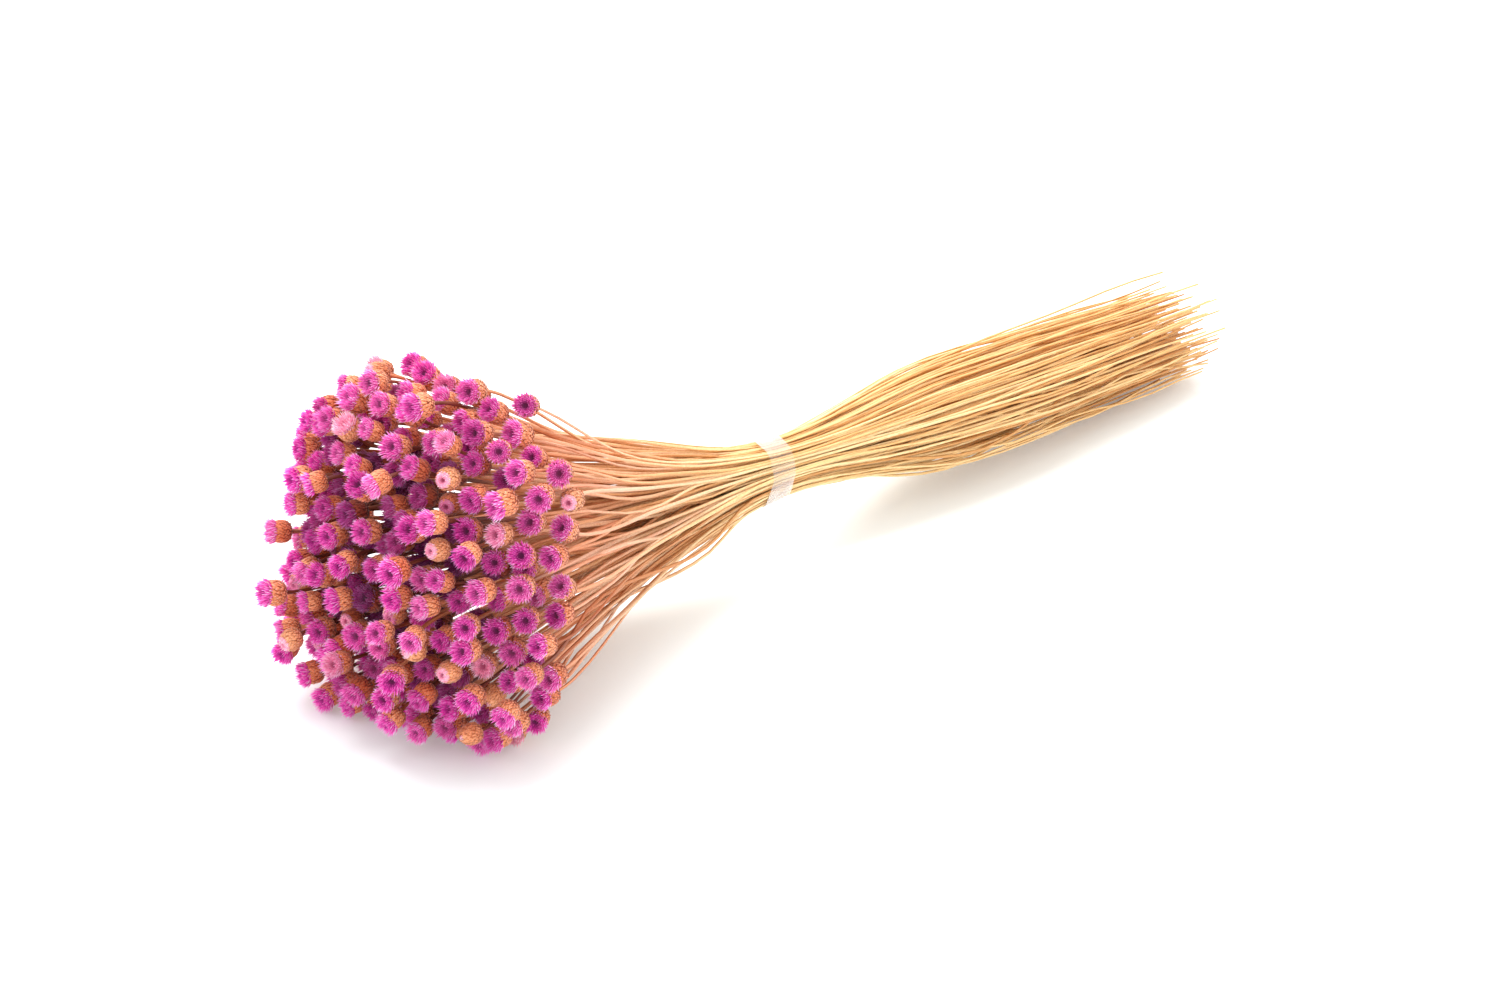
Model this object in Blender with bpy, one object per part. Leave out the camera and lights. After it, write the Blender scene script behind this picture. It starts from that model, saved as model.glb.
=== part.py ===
# A bunch of dried immortelle, tied at its waist and lying on its side.
# Metres, +Z up. The origin is on the surface that the bunch lies on, under its middle.
# The waist runs along X: the flower heads are toward -X and the cut ends toward +X.
import itertools
import math

import bmesh
import bpy
import numpy as np

# Counts. A sprig is five flower stems that are grown together under the tape.
SPRIG_COUNT = 58
STEMS_PER_SPRIG = 5
STEM_COUNT = SPRIG_COUNT * STEMS_PER_SPRIG
SEED = 9

# Stations along X, measured from the middle of the tape
TAIL_END_X = 0.293
TAIL_MID_X = 0.112
FAN_MID_X = -0.088

# Half width, half height and centre height of the bundle at its stations
TAIL_END = (0.0262, 0.0218, 0.0209)
TAIL_MID = (0.0288, 0.0224, 0.0325)
WAIST = (0.0114, 0.0104, 0.0412)
TAIL_VEER = 0.005
TIP_UNEVENNESS = 0.022
TIP_LONGEST = 0.004

# The cap of flower heads: a rounded block that leans forward and widens at its foot
CAP_CENTRE = (-0.1821, 0.0, 0.0649)
CAP_RADII = (0.0339, 0.0559, 0.0587)
CAP_SQUARENESS = 4.00
CAP_LEAN = math.radians(8.3)
CAP_SPREAD = 0.011
CAP_REACH = math.radians(97)
CAP_CROWDING = 2.20
CAP_DEPTH = 0.028
CAP_DEPTH_PEAK = 0.017
RIM_DEPTH = 0.21
LONG_STEM_SHARE = 0.06
LONG_STEM_REACH = (0.002, 0.007)
FAN_FLARE = 0.57

# How the places in the disc are spread
CORNER_SHARE = 0.07
DISC_JITTER = 0.012
SPREAD_STEP = 0.3
DISC_ROUNDS = 60
WAIST_ROUNDS = 400
ANGLE_STEPS = 200

# One stem: a slim three-sided tube
STEM_RADIUS = 0.00060
STEM_SIDES = 3
STEM_JITTER = 0.0010

# One flower head, along its own axis from the end of its stem
HEAD_SIDES = 5
WIDEST_Z, WIDEST_RADIUS = 0.0034, 0.0052
NECK_Z, NECK_RADIUS = 0.0080, 0.0046
FLORET_Z, FLORET_RADIUS = 0.0114, 0.0057
PIT_Z = 0.0074
BUD_Z, BUD_RADIUS = 0.0110, 0.0015
BUD_SHARE = 0.07
HEAD_MIDDLE = 0.0060
HEAD_TURN_OUT = 0.10
HEAD_WOBBLE = 0.19
HEAD_SIZES = (0.80, 0.93, 0.99)

# A head takes up the room of a short capsule while the bunch settles
CAPSULE_FROM, CAPSULE_TO, CAPSULE_RADIUS = 0.0046, 0.0100, 0.0057
CLEARANCE = 0.0003
SETTLE_ROUNDS = 240
SETTLE_MARGIN = 0.00012
SISTER_SPACE = 0.0009
ROOT_SWELL = 0.00015
SEARCH_EVERY = 30
SEARCH_REACH = 0.004
LEAST_LEVER = 0.4
NO_LENGTH = 1e-12
PARALLEL = 1e-16

# The knot that joins the stems of a sprig under the tape
KNOT_HALF_LENGTH = 0.0030
KNOT_RADIUS = 0.00125
KNOT_SPACE = 0.00060
CENTRE_SHARES = (0.1, 0.9, 17)

# The clear tape. Its plane leans along X as Y and as Z rise.
TAPE_WIDTH = 0.0142
TAPE_THICKNESS = 0.0004
TAPE_EASE = 0.0005
TAPE_SLANT_Y = 0.22
TAPE_SLANT_Z = 0.17
TAPE_SIDES = 24

GOLDEN_ANGLE = math.pi * (3 - math.sqrt(5))
SMOOTH_ANGLE = math.radians(50)

# A stem's control points, and the pieces between them that may touch a neighbour.
# Points 5 and 6 are the ends of the head's capsule.
TAIL_TIP, TAIL_BEND, TIE, FAN_BEND, HEAD_BASE = range(5)
PIECE_FROM = np.array([TAIL_TIP, TAIL_BEND, TIE, FAN_BEND, 5])
PIECE_TO = np.array([TAIL_BEND, TIE, FAN_BEND, HEAD_BASE, 6])
HEAD_PIECE = 4
TIED_PIECES = (1, 2)

# Material slots of a sprig, after its straw
BRACT, FLORET = 1, 2


def unit(vectors):
    length = np.linalg.norm(vectors, axis=-1, keepdims=True)
    return vectors / np.maximum(length, NO_LENGTH)


def spread_apart(points, spacing, rounds, limit=None):
    # Pushes points in a plane apart until each has its spacing.
    others = 1 - np.eye(len(points))
    for _ in range(rounds):
        offset = points[:, None] - points[None]
        distance = np.linalg.norm(offset, axis=2) + np.eye(len(points))
        push = np.clip(spacing - distance, 0, None) * others
        points = points + SPREAD_STEP * (offset / distance[..., None] * push[..., None]).sum(1)
        if limit is not None:
            radius = np.linalg.norm(points, axis=1, keepdims=True)
            points = points / np.maximum(1, radius / limit)
    return points


def disc_places(rng):
    # Sunflower places for the sprigs, a ring of stems round each, and an even disc of stems.
    index = np.arange(SPRIG_COUNT)
    radius = np.sqrt((index + 0.5) / SPRIG_COUNT)
    sprigs = np.stack([radius * np.cos(index * GOLDEN_ANGLE), radius * np.sin(index * GOLDEN_ANGLE)], 1)
    turn = rng.uniform(0, math.pi / 2, SPRIG_COUNT)
    corner = turn[:, None] + np.arange(STEMS_PER_SPRIG) * 2 * math.pi / STEMS_PER_SPRIG
    corners = np.stack([np.cos(corner), np.sin(corner)], 2)
    stems = (sprigs[:, None] * (1 - CORNER_SHARE) + corners * CORNER_SHARE).reshape(-1, 2)
    stems = stems + rng.normal(0, DISC_JITTER, stems.shape)
    even = math.sqrt(2 * math.pi / STEM_COUNT / math.sqrt(3))
    return sprigs, corners.reshape(-1, 2), spread_apart(stems, even, DISC_ROUNDS, 1.0)


def cap_angles(radius):
    # Turns a place's radius in the disc into an angle on the cap, with about equal area for each head.
    angle = np.linspace(0, CAP_REACH, ANGLE_STEPS)
    depth, side = CAP_RADII[0], CAP_RADII[1]
    strip = np.sin(angle) * np.hypot(side * np.cos(angle), depth * np.sin(angle))
    area = np.concatenate([[0], np.cumsum((strip[1:] + strip[:-1]) / 2)])
    return np.interp(radius ** CAP_CROWDING, area / area[-1], angle)


def cap_surface(places):
    # The point and the outward direction on the cap for each place in the disc.
    polar = cap_angles(np.linalg.norm(places, axis=1))
    round_angle = np.arctan2(places[:, 1], places[:, 0])
    side = np.sin(polar) * np.cos(round_angle)
    rise = np.sin(polar) * np.sin(round_angle)
    ray = np.stack([-np.cos(polar), side, rise], 1)
    ray = ray / (np.abs(ray) ** CAP_SQUARENESS).sum(1, keepdims=True) ** (1 / CAP_SQUARENESS)
    spread = np.stack([np.ones(len(ray)), 1 - CAP_SPREAD * ray[:, 2], np.ones(len(ray))], 1)
    radii = np.array(CAP_RADII) * spread
    normal = unit(np.sign(ray) * np.abs(ray) ** (CAP_SQUARENESS - 1) / radii)
    cosine, sine = math.cos(CAP_LEAN), math.sin(CAP_LEAN)
    lean = np.array([[cosine, 0, sine], [0, 1, 0], [-sine, 0, cosine]])
    return np.array(CAP_CENTRE) + (ray * radii) @ lean.T, normal @ lean.T


def head_turns(axes, spins):
    # One rotation matrix for each head, whose third column is the head's axis.
    side = unit(np.cross(axes, np.array([0.0, 0.0, 1.0])))
    front = np.cross(axes, side)
    across = side * np.cos(spins)[:, None] + front * np.sin(spins)[:, None]
    return np.stack([across, np.cross(axes, across), axes], axis=2)


def head_rings(is_bud):
    # The rings of a head's cup, and the points of its florets, in the head's own frame.
    steps = np.arange(HEAD_SIDES) * 2 * math.pi / HEAD_SIDES
    half = math.pi / HEAD_SIDES
    floret_z, floret_radius = (BUD_Z, BUD_RADIUS) if is_bud else (FLORET_Z, FLORET_RADIUS)
    rows = ((WIDEST_Z, WIDEST_RADIUS, 0.0), (NECK_Z, NECK_RADIUS, half), (floret_z, floret_radius, 2 * half))
    return [
        np.stack([r * np.cos(steps + a), r * np.sin(steps + a), np.full(HEAD_SIDES, z)], 1)
        for z, r, a in rows
    ]


def nearest_on_pieces(start_a, end_a, start_b, end_b):
    # Where each pair of straight pieces comes nearest, as a share of each piece's length.
    along_a, along_b, between = end_a - start_a, end_b - start_b, start_a - start_b
    aa = (along_a * along_a).sum(1)
    bb = (along_b * along_b).sum(1)
    ab = (along_a * along_b).sum(1)
    a_between = (along_a * between).sum(1)
    b_between = (along_b * between).sum(1)
    cross = aa * bb - ab * ab
    share = (ab * b_between - a_between * bb) / np.maximum(cross, PARALLEL)
    share_a = np.clip(np.where(cross > PARALLEL, share, 0.5), 0, 1)
    share_b = np.clip((ab * share_a + b_between) / bb, 0, 1)
    share_a = np.clip((ab * share_b - a_between) / aa, 0, 1)
    return share_a, share_b


def settle(paths, axes, sizes, lowest):
    # Moves bends, tips and heads until no stem or head comes within the clearance of another.
    stem = np.repeat(np.arange(STEM_COUNT), len(PIECE_FROM))
    piece = np.tile(np.arange(len(PIECE_FROM)), STEM_COUNT)
    radius = np.where(piece == HEAD_PIECE, CAPSULE_RADIUS * sizes[stem], STEM_RADIUS)
    radius = radius + ROOT_SWELL * np.isin(piece, TIED_PIECES)
    first, second = np.triu_indices(len(stem), 1)
    same_sprig = stem[first] // STEMS_PER_SPRIG == stem[second] // STEMS_PER_SPRIG
    tied = np.isin(piece[first], TIED_PIECES) & np.isin(piece[second], TIED_PIECES)
    apart = (stem[first] != stem[second]) & ~(same_sprig & tied)
    first, second = first[apart], second[apart]
    sisters = same_sprig[apart] & (piece[first] != HEAD_PIECE) & (piece[second] != HEAD_PIECE)
    free_x = np.array([0, 0, 0, 0, 1])[None, :, None] * np.array([1, 0, 0])
    free_yz = np.array([1, 1, 0, 1, 1])[None, :, None] * np.array([0, 1, 1])
    for count in range(SETTLE_ROUNDS):
        ends = [paths[:, HEAD_BASE] + axes * sizes[:, None] * along for along in (CAPSULE_FROM, CAPSULE_TO)]
        points = np.concatenate([paths, ends[0][:, None], ends[1][:, None]], 1)
        start, end = points[stem, PIECE_FROM[piece]], points[stem, PIECE_TO[piece]]
        if count % SEARCH_EVERY == 0:
            low, high = np.minimum(start[:, 0], end[:, 0]), np.maximum(start[:, 0], end[:, 0])
            reach = 2 * CAPSULE_RADIUS + SEARCH_REACH
            level = (low[first] < high[second] + reach) & (low[second] < high[first] + reach)
            a, b = first[level], second[level]
            share_a, share_b = nearest_on_pieces(start[a], end[a], start[b], end[b])
            gap = start[a] + (end[a] - start[a]) * share_a[:, None]
            gap = gap - start[b] - (end[b] - start[b]) * share_b[:, None]
            close = np.linalg.norm(gap, axis=1) < radius[a] + radius[b] + SEARCH_REACH
            near_a, near_b = a[close], b[close]
            keep = CLEARANCE + SETTLE_MARGIN + SISTER_SPACE * sisters[level][close]
        share_a, share_b = nearest_on_pieces(start[near_a], end[near_a], start[near_b], end[near_b])
        gap = start[near_a] + (end[near_a] - start[near_a]) * share_a[:, None]
        gap = gap - start[near_b] - (end[near_b] - start[near_b]) * share_b[:, None]
        lack = radius[near_a] + radius[near_b] + keep - np.linalg.norm(gap, axis=1)
        hit = lack > 0
        a, b, gap, lack = near_a[hit], near_b[hit], gap[hit], lack[hit]
        share_a, share_b = share_a[hit], share_b[hit]
        both_stems = (piece[a] != HEAD_PIECE) & (piece[b] != HEAD_PIECE)
        gap = np.where(both_stems[:, None], gap * np.array([0, 1, 1]), gap)
        push = unit(gap) * lack[:, None] / 2
        move, load = np.zeros_like(paths), np.zeros(paths.shape[:2])
        for one, share, sign in ((a, share_a, 1), (b, share_b, -1)):
            is_head = piece[one] == HEAD_PIECE
            lever = np.where(is_head, 1, 1 / np.maximum(share ** 2 + (1 - share) ** 2, LEAST_LEVER))
            for point, weight in ((PIECE_FROM[piece[one]], 1 - share), (PIECE_TO[piece[one]], share)):
                point = np.where(is_head, HEAD_BASE, point)
                weight = np.where(is_head, 0.5, weight)
                np.add.at(move, (stem[one], point), sign * push * (weight * lever)[:, None])
                np.add.at(load, (stem[one], point), weight)
        move = move / np.sqrt(np.maximum(load, 1))[..., None]
        paths = paths + move * free_x + move * free_yz
        paths[:, :HEAD_BASE, 2] = np.maximum(paths[:, :HEAD_BASE, 2], STEM_RADIUS)
        paths[:, HEAD_BASE, 2] = np.maximum(paths[:, HEAD_BASE, 2], -lowest)
    return paths


def lay_out_bunch():
    # The path of each stem, and the turn, size and kind of each flower head.
    rng = np.random.default_rng(SEED)
    sprigs, corners, places = disc_places(rng)
    spacing = 2 * KNOT_RADIUS + KNOT_SPACE
    waist = spread_apart(sprigs * np.array(WAIST[:2]), spacing, WAIST_ROUNDS)
    paths = np.zeros((STEM_COUNT, 5, 3))
    paths[:, TIE, 1:] = waist.repeat(STEMS_PER_SPRIG, 0) + corners * (KNOT_RADIUS - STEM_RADIUS)
    paths[:, TIE, 2] += WAIST[2]
    for point, x, (half_width, half_height, height) in (
        (TAIL_TIP, TAIL_END_X, TAIL_END),
        (TAIL_BEND, TAIL_MID_X, TAIL_MID),
    ):
        paths[:, point, 0] = x
        paths[:, point, 1] = places[:, 0] * half_width + TAIL_VEER * x / TAIL_END_X
        paths[:, point, 2] = height + places[:, 1] * half_height
        paths[:, point, 1:] += rng.normal(0, STEM_JITTER, (STEM_COUNT, 2))
    paths[:, TAIL_TIP, 0] += rng.uniform(-TIP_UNEVENNESS, TIP_LONGEST, STEM_COUNT)
    head, normal = cap_surface(places)
    toward_tie = unit(paths[:, TIE] - head)
    depth = rng.triangular(0, CAP_DEPTH_PEAK, CAP_DEPTH, STEM_COUNT)
    depth = depth * (1 - (1 - RIM_DEPTH) * (places ** 2).sum(1))
    is_long = rng.random(STEM_COUNT) < LONG_STEM_SHARE
    depth = np.where(is_long, -rng.uniform(*LONG_STEM_REACH, STEM_COUNT), depth)
    wobble = rng.normal(0, HEAD_WOBBLE, (STEM_COUNT, 3))
    axes = unit(HEAD_TURN_OUT * normal - (1 - HEAD_TURN_OUT) * toward_tie + wobble)
    sizes = rng.triangular(*HEAD_SIZES, STEM_COUNT)
    is_bud = rng.random(STEM_COUNT) < BUD_SHARE
    turns = head_turns(axes, rng.uniform(0, 2 * math.pi, STEM_COUNT))
    paths[:, HEAD_BASE] = head + toward_tie * depth[:, None] - axes * HEAD_MIDDLE
    reach = FAN_MID_X / paths[:, HEAD_BASE, 0]
    flare = (FAN_FLARE * reach + (1 - FAN_FLARE) * reach ** 2)[:, None]
    paths[:, FAN_BEND] = paths[:, TIE] + (paths[:, HEAD_BASE] - paths[:, TIE]) * flare
    paths[:, FAN_BEND, 0] = FAN_MID_X
    paths[:, FAN_BEND, 1:] += rng.normal(0, STEM_JITTER, (STEM_COUNT, 2))
    outlines = [np.concatenate(head_rings(kind)) for kind in (False, True)]
    spans = np.stack([np.einsum("nij,kj->nki", turns, outline) for outline in outlines])
    spans = spans[is_bud.astype(int), np.arange(STEM_COUNT)] * sizes[:, None, None]
    paths = settle(paths, axes, sizes, spans[..., 2].min(1))
    tips = paths[:, HEAD_BASE, None] + spans
    low = np.minimum(paths.min((0, 1)), tips.min((0, 1)))
    high = np.maximum(paths.max((0, 1)), tips.max((0, 1)))
    shift = np.array([-(low[0] + high[0]) / 2, -(low[1] + high[1]) / 2, 0])
    return paths + shift, turns, sizes, is_bud, shift


def principled(name, colour, roughness, transmission=0.0):
    material = bpy.data.materials.new(name)
    material.use_nodes = True
    material.diffuse_color = (*colour, 1.0)
    shader = material.node_tree.nodes["Principled BSDF"]
    shader.inputs["Base Color"].default_value = (*colour, 1.0)
    shader.inputs["Roughness"].default_value = roughness
    shader.inputs["Metallic"].default_value = 0.0
    shader.inputs["Transmission Weight"].default_value = transmission
    return material


def extend(bm, cap, ring):
    # Pulls a cap out into the next ring and returns the new cap.
    cap = bmesh.ops.extrude_discrete_faces(bm, faces=[cap])["faces"][0]
    for vertex, point in zip(cap.verts, ring):
        vertex.co = point
    return cap


def best_order(ring, cap):
    # The order of a ring's points that twists least from the corners of a cap.
    corners = np.array([vertex.co for vertex in cap.verts])
    corners = corners - corners.mean(0)
    centred = ring - ring.mean(0)
    index = np.arange(len(ring))
    orders = [np.roll(index[::sense], step) for sense in (1, -1) for step in index]
    return min(orders, key=lambda order: ((centred[order] - corners) ** 2).sum())


def finish_mesh(bm, name, materials):
    bmesh.ops.triangulate(bm, faces=bm.faces, quad_method="SHORT_EDGE")
    bmesh.ops.recalc_face_normals(bm, faces=bm.faces)
    mesh = bpy.data.meshes.new(name)
    bm.to_mesh(mesh)
    bm.free()
    for material in materials:
        mesh.materials.append(material)
    mesh.shade_smooth()
    mesh.set_sharp_from_angle(angle=SMOOTH_ANGLE)
    return mesh


def stem_ring(point, tangent, angle):
    # A ring round a stem, with one corner toward the angle as seen along the bunch.
    side = unit(np.array([0, 1, 0]) - tangent[1] * tangent)
    rise = np.cross(tangent, side) * np.sign(tangent[0])
    turns = angle + np.arange(STEM_SIDES) * 2 * math.pi / STEM_SIDES
    return point + STEM_RADIUS * (np.outer(np.cos(turns), side) + np.outer(np.sin(turns), rise))


def grow_stem(bm, cap, points, angles):
    # Carries a stem from its root in the knot through its bends.
    runs = unit(points[1:] - points[:-1])
    tangents = unit(np.concatenate([runs[:-1] + runs[1:], runs[-1:]]))
    for point, tangent, angle in zip(points[1:], tangents, angles):
        ring = stem_ring(point, tangent, angle)
        cap = extend(bm, cap, ring[best_order(ring, cap)])
    return cap


def grow_head(bm, cap, base, turn, is_bud):
    # A cup of bracts with a ring of pointed florets round a sunk middle.
    rings = [base + ring @ turn.T for ring in head_rings(is_bud)]
    cap = extend(bm, cap, [vertex.co.copy() for vertex in cap.verts])
    bmesh.ops.bisect_edges(bm, edges=list(cap.edges)[:HEAD_SIDES - STEM_SIDES], cuts=1)
    order = best_order(rings[0], cap)
    for vertex, point in zip(cap.verts, rings[0][order]):
        vertex.co = point
    cup = list({face for edge in cap.edges for face in edge.link_faces})
    cap = extend(bm, cap, rings[1][order])
    cup += [face for edge in cap.edges for face in edge.link_faces]
    poked = bmesh.ops.poke(bm, faces=[cap])
    poked["verts"][0].co = base + turn @ np.array([0, 0, PIT_Z])
    spikes = bmesh.ops.poke(bm, faces=poked["faces"])
    for vertex in spikes["verts"]:
        here = np.array(vertex.co)
        vertex.co = min(rings[2], key=lambda tip: ((tip - here) ** 2).sum())
    for face in cup:
        if face.is_valid:
            face.material_index = BRACT
    for face in spikes["faces"]:
        face.material_index = FLORET


def fairest_centre(stems):
    # The point among a sprig's stems from which their bearings are most evenly apart.
    shares = np.linspace(*CENTRE_SHARES)
    low, high = stems.min(0), stems.max(0)
    tries = np.array([low + (high - low) * np.array(pair) for pair in itertools.product(shares, shares)])
    rays = stems[None] - tries[:, None]
    bearings = np.sort(np.arctan2(rays[..., 1], rays[..., 0]), axis=1)
    gaps = np.diff(bearings, axis=1, append=bearings[:, :1] + 2 * math.pi)
    return tries[gaps.min(1).argmax()]


def root_corners(paths, bend, x):
    # The corners of a knot's end, each midway between the bearings of two neighbouring stems.
    middle = fairest_centre(paths[:, bend, 1:])
    ray = paths[:, bend, 1:] - middle
    bearing = np.arctan2(ray[:, 1], ray[:, 0])
    here = np.sort(bearing)
    corners = (here + np.append(here[1:], here[0] + 2 * math.pi)) / 2
    tie = paths[:, TIE].mean(0)
    goal = np.array([paths[0, bend, 0], *middle])
    centre = tie + (goal - tie) * x / (goal[0] - tie[0])
    ring = np.stack([np.zeros(len(corners)), np.cos(corners), np.sin(corners)], 1)
    return centre, centre + ring * KNOT_RADIUS, bearing


def add_object(name, mesh, collection):
    made = bpy.data.objects.new(name, mesh)
    collection.objects.link(made)
    return made


def sprig(index, bunch, materials):
    # Five stems with their heads, grown out of the two ends of one knot.
    paths, turns, sizes, is_bud, _ = bunch
    members = slice(index * STEMS_PER_SPRIG, (index + 1) * STEMS_PER_SPRIG)
    paths, turns, sizes, is_bud = paths[members], turns[members], sizes[members], is_bud[members]
    bm = bmesh.new()
    tail_centre, tail_ring, tail_bearing = root_corners(paths, TAIL_BEND, KNOT_HALF_LENGTH)
    fan_centre, fan_ring, fan_bearing = root_corners(paths, FAN_BEND, -KNOT_HALF_LENGTH)
    tail_cap = bm.faces.new([bm.verts.new(point) for point in tail_ring])
    fan_cap = extend(bm, tail_cap, fan_ring[best_order(fan_ring, tail_cap)])
    open_edges = [edge for edge in bm.edges if edge.is_boundary]
    tail_cap = bmesh.ops.contextual_create(bm, geom=open_edges)["faces"][0]
    tail_roots = root_faces(bm, tail_cap, tail_centre, tail_bearing)
    fan_roots = root_faces(bm, fan_cap, fan_centre, fan_bearing)
    for stem in range(STEMS_PER_SPRIG):
        inward = tail_bearing[stem] + math.pi
        third = 2 * math.pi / STEM_SIDES
        downward = -math.pi / 2 + third * round((inward + math.pi / 2) / third)
        grow_stem(bm, tail_roots[stem], paths[stem, [TIE, TAIL_BEND, TAIL_TIP]], (inward, downward))
        inward = fan_bearing[stem] + math.pi
        cap = grow_stem(bm, fan_roots[stem], paths[stem, [TIE, FAN_BEND, HEAD_BASE]], (inward, inward))
        grow_head(bm, cap, paths[stem, HEAD_BASE], turns[stem] * sizes[stem], is_bud[stem])
    name = f"sprig_{index + 1:02d}"
    return add_object(name, finish_mesh(bm, name, materials), bpy.context.scene.collection)


def root_faces(bm, cap, centre, bearings):
    # Splits a knot's end into triangles and gives each stem the one that looks along its bearing.
    poked = bmesh.ops.poke(bm, faces=[cap])
    poked["verts"][0].co = centre
    looks = np.array([face.calc_center_median() for face in poked["faces"]]) - centre
    toward = np.stack([np.cos(bearings), np.sin(bearings)], 1)
    match = toward @ unit(looks[:, 1:]).T
    stems = range(len(bearings))
    best = max(itertools.permutations(stems), key=lambda order: match[stems, order].sum())
    return [poked["faces"][root] for root in best]


def point_at(path, x):
    # Where a stem's path crosses a plane near the tape.
    bend = path[TAIL_BEND] if x > path[TIE, 0] else path[FAN_BEND]
    share = (x - path[TIE, 0]) / (bend[0] - path[TIE, 0])
    return path[TIE] + (bend - path[TIE]) * share


def tape(bunch, material):
    # A slanted band round the waist that clears the widest stem at each of its edges.
    paths, shift = bunch[0], bunch[4]
    centre = np.array([shift[0], shift[1], WAIST[2]])
    bearings = (np.arange(TAPE_SIDES) + 0.5) * 2 * math.pi / TAPE_SIDES
    flat = 1 / math.cos(math.pi / TAPE_SIDES)
    inner, outer = [], []
    for along in (-TAPE_WIDTH / 2, 0.0, TAPE_WIDTH / 2):
        offsets = []
        for path in paths:
            across, rise = path[TIE, 1:] - centre[1:]
            x = centre[0] + along + TAPE_SLANT_Y * across + TAPE_SLANT_Z * rise
            offsets.append(point_at(path, x)[1:] - centre[1:])
        offsets = np.array(offsets)
        widest = np.abs(offsets).max(0)
        reach = np.linalg.norm(offsets / widest, axis=1).max()
        for rings, extra in ((inner, 0.0), (outer, TAPE_THICKNESS)):
            radii = (widest * reach + STEM_RADIUS + TAPE_EASE + extra) * flat
            y, z = radii[0] * np.cos(bearings), radii[1] * np.sin(bearings)
            slant = TAPE_SLANT_Y * y + TAPE_SLANT_Z * z
            rings.append(centre + np.stack([along + slant, y, z], 1))
    return band(inner, outer, material)


def band(inner, outer, material):
    # A closed ring of material between an inner and an outer surface.
    bm = bmesh.new()
    loops = [[bm.verts.new(point) for point in ring] for ring in outer + inner[::-1]]
    for one, other in zip(loops, loops[1:] + loops[:1]):
        for a, b in zip(range(TAPE_SIDES), [*range(1, TAPE_SIDES), 0]):
            bm.faces.new((one[a], one[b], other[b], other[a]))
    return add_object("clear_tape", finish_mesh(bm, "clear_tape", [material]), bpy.context.scene.collection)


def main():
    for old in list(bpy.data.objects):
        bpy.data.objects.remove(old, do_unlink=True)
    straw = principled("dried_straw", (0.78, 0.50, 0.22), 0.62)
    bract = principled("papery_bract", (0.74, 0.24, 0.09), 0.70)
    floret = principled("dyed_floret", (0.56, 0.05, 0.42), 0.80)
    film = principled("clear_tape_film", (0.90, 0.88, 0.84), 0.15, 0.8)
    bunch = lay_out_bunch()
    for index in range(SPRIG_COUNT):
        sprig(index, bunch, [straw, bract, floret])
    tape(bunch, film)


main()
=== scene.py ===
"""The looks of a bunch of dried immortelle that lies on its side, tied at its waist.

Metres, +Z up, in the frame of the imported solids: the heads are toward -X and the cut ends toward +X.
The layout rule is the one that placed the solids, so every stem and head stands where its solid is.
"""

import logging
import math
from dataclasses import dataclass
from enum import Enum

import bmesh
import bpy
import numpy as np
from bmesh.types import BMesh, BMVert
from bpy.types import ID, Material, Mesh, Node, NodeTree, Object
from mathutils import Matrix, Vector
from numpy import ndarray
from numpy.random import Generator


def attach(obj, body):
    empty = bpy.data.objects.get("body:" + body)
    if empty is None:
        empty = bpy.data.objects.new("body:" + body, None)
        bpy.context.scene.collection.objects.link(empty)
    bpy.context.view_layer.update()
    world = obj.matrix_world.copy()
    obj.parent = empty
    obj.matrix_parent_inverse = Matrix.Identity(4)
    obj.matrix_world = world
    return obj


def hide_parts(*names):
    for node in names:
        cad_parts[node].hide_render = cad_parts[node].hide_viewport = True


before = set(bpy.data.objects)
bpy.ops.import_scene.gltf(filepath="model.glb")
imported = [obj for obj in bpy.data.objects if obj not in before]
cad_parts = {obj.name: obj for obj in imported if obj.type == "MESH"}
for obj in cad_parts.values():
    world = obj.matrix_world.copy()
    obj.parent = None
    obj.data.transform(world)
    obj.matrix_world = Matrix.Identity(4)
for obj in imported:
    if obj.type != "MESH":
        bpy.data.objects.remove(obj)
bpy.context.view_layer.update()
LOG = logging.getLogger("immortelle")

BODY = "root"
MM = 0.001
FULL_TURN = 2 * math.pi
GOLDEN_ANGLE = math.pi * (3 - math.sqrt(5))
SHARP_ANGLE = math.radians(60)
NO_LENGTH = 1e-12
UP = np.array([0.0, 0.0, 1.0])

# The point attributes that the materials read
TIP, TONE, FADE, ALONG = "tip", "tone", "fade", "along"

# The sockets of a Mix node that mixes colours
MIX_SHARE, MIX_FIRST, MIX_SECOND, MIX_RESULT = 0, 6, 7, 2

# How wide and how deep a three-sided blade of radius 1 is
BLADE_WIDTH, BLADE_DEPTH = math.sqrt(3), 1.5

# A stem's control points, and the two ends of the rod that its head counts as while they are pushed apart
TAIL_TIP, TAIL_BEND, TIE, FAN_BEND, HEAD_BASE, HEAD_LOW, HEAD_HIGH = range(7)


class HeadKind(Enum):
    """How far a flower head has opened."""

    OPEN = "open"
    PARTED = "parted"
    BUD = "bud"


def linear(colour: str) -> tuple[float, float, float, float]:
    """Turns an sRGB colour into what a shader takes.

    Args:
        colour: Six hex digits.

    Returns:
        Linear red, green and blue, with an alpha of 1.
    """
    parts = [int(colour[start:start + 2], 16) / 255 for start in (0, 2, 4)]
    red, green, blue = (c / 12.92 if c <= 0.04045 else ((c + 0.055) / 1.055) ** 2.4 for c in parts)
    return red, green, blue, 1.0


def unit(vectors: ndarray) -> ndarray:
    """Scales each vector of an array to a length of one."""
    return vectors / np.maximum(np.linalg.norm(vectors, axis=-1, keepdims=True), NO_LENGTH)


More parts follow.
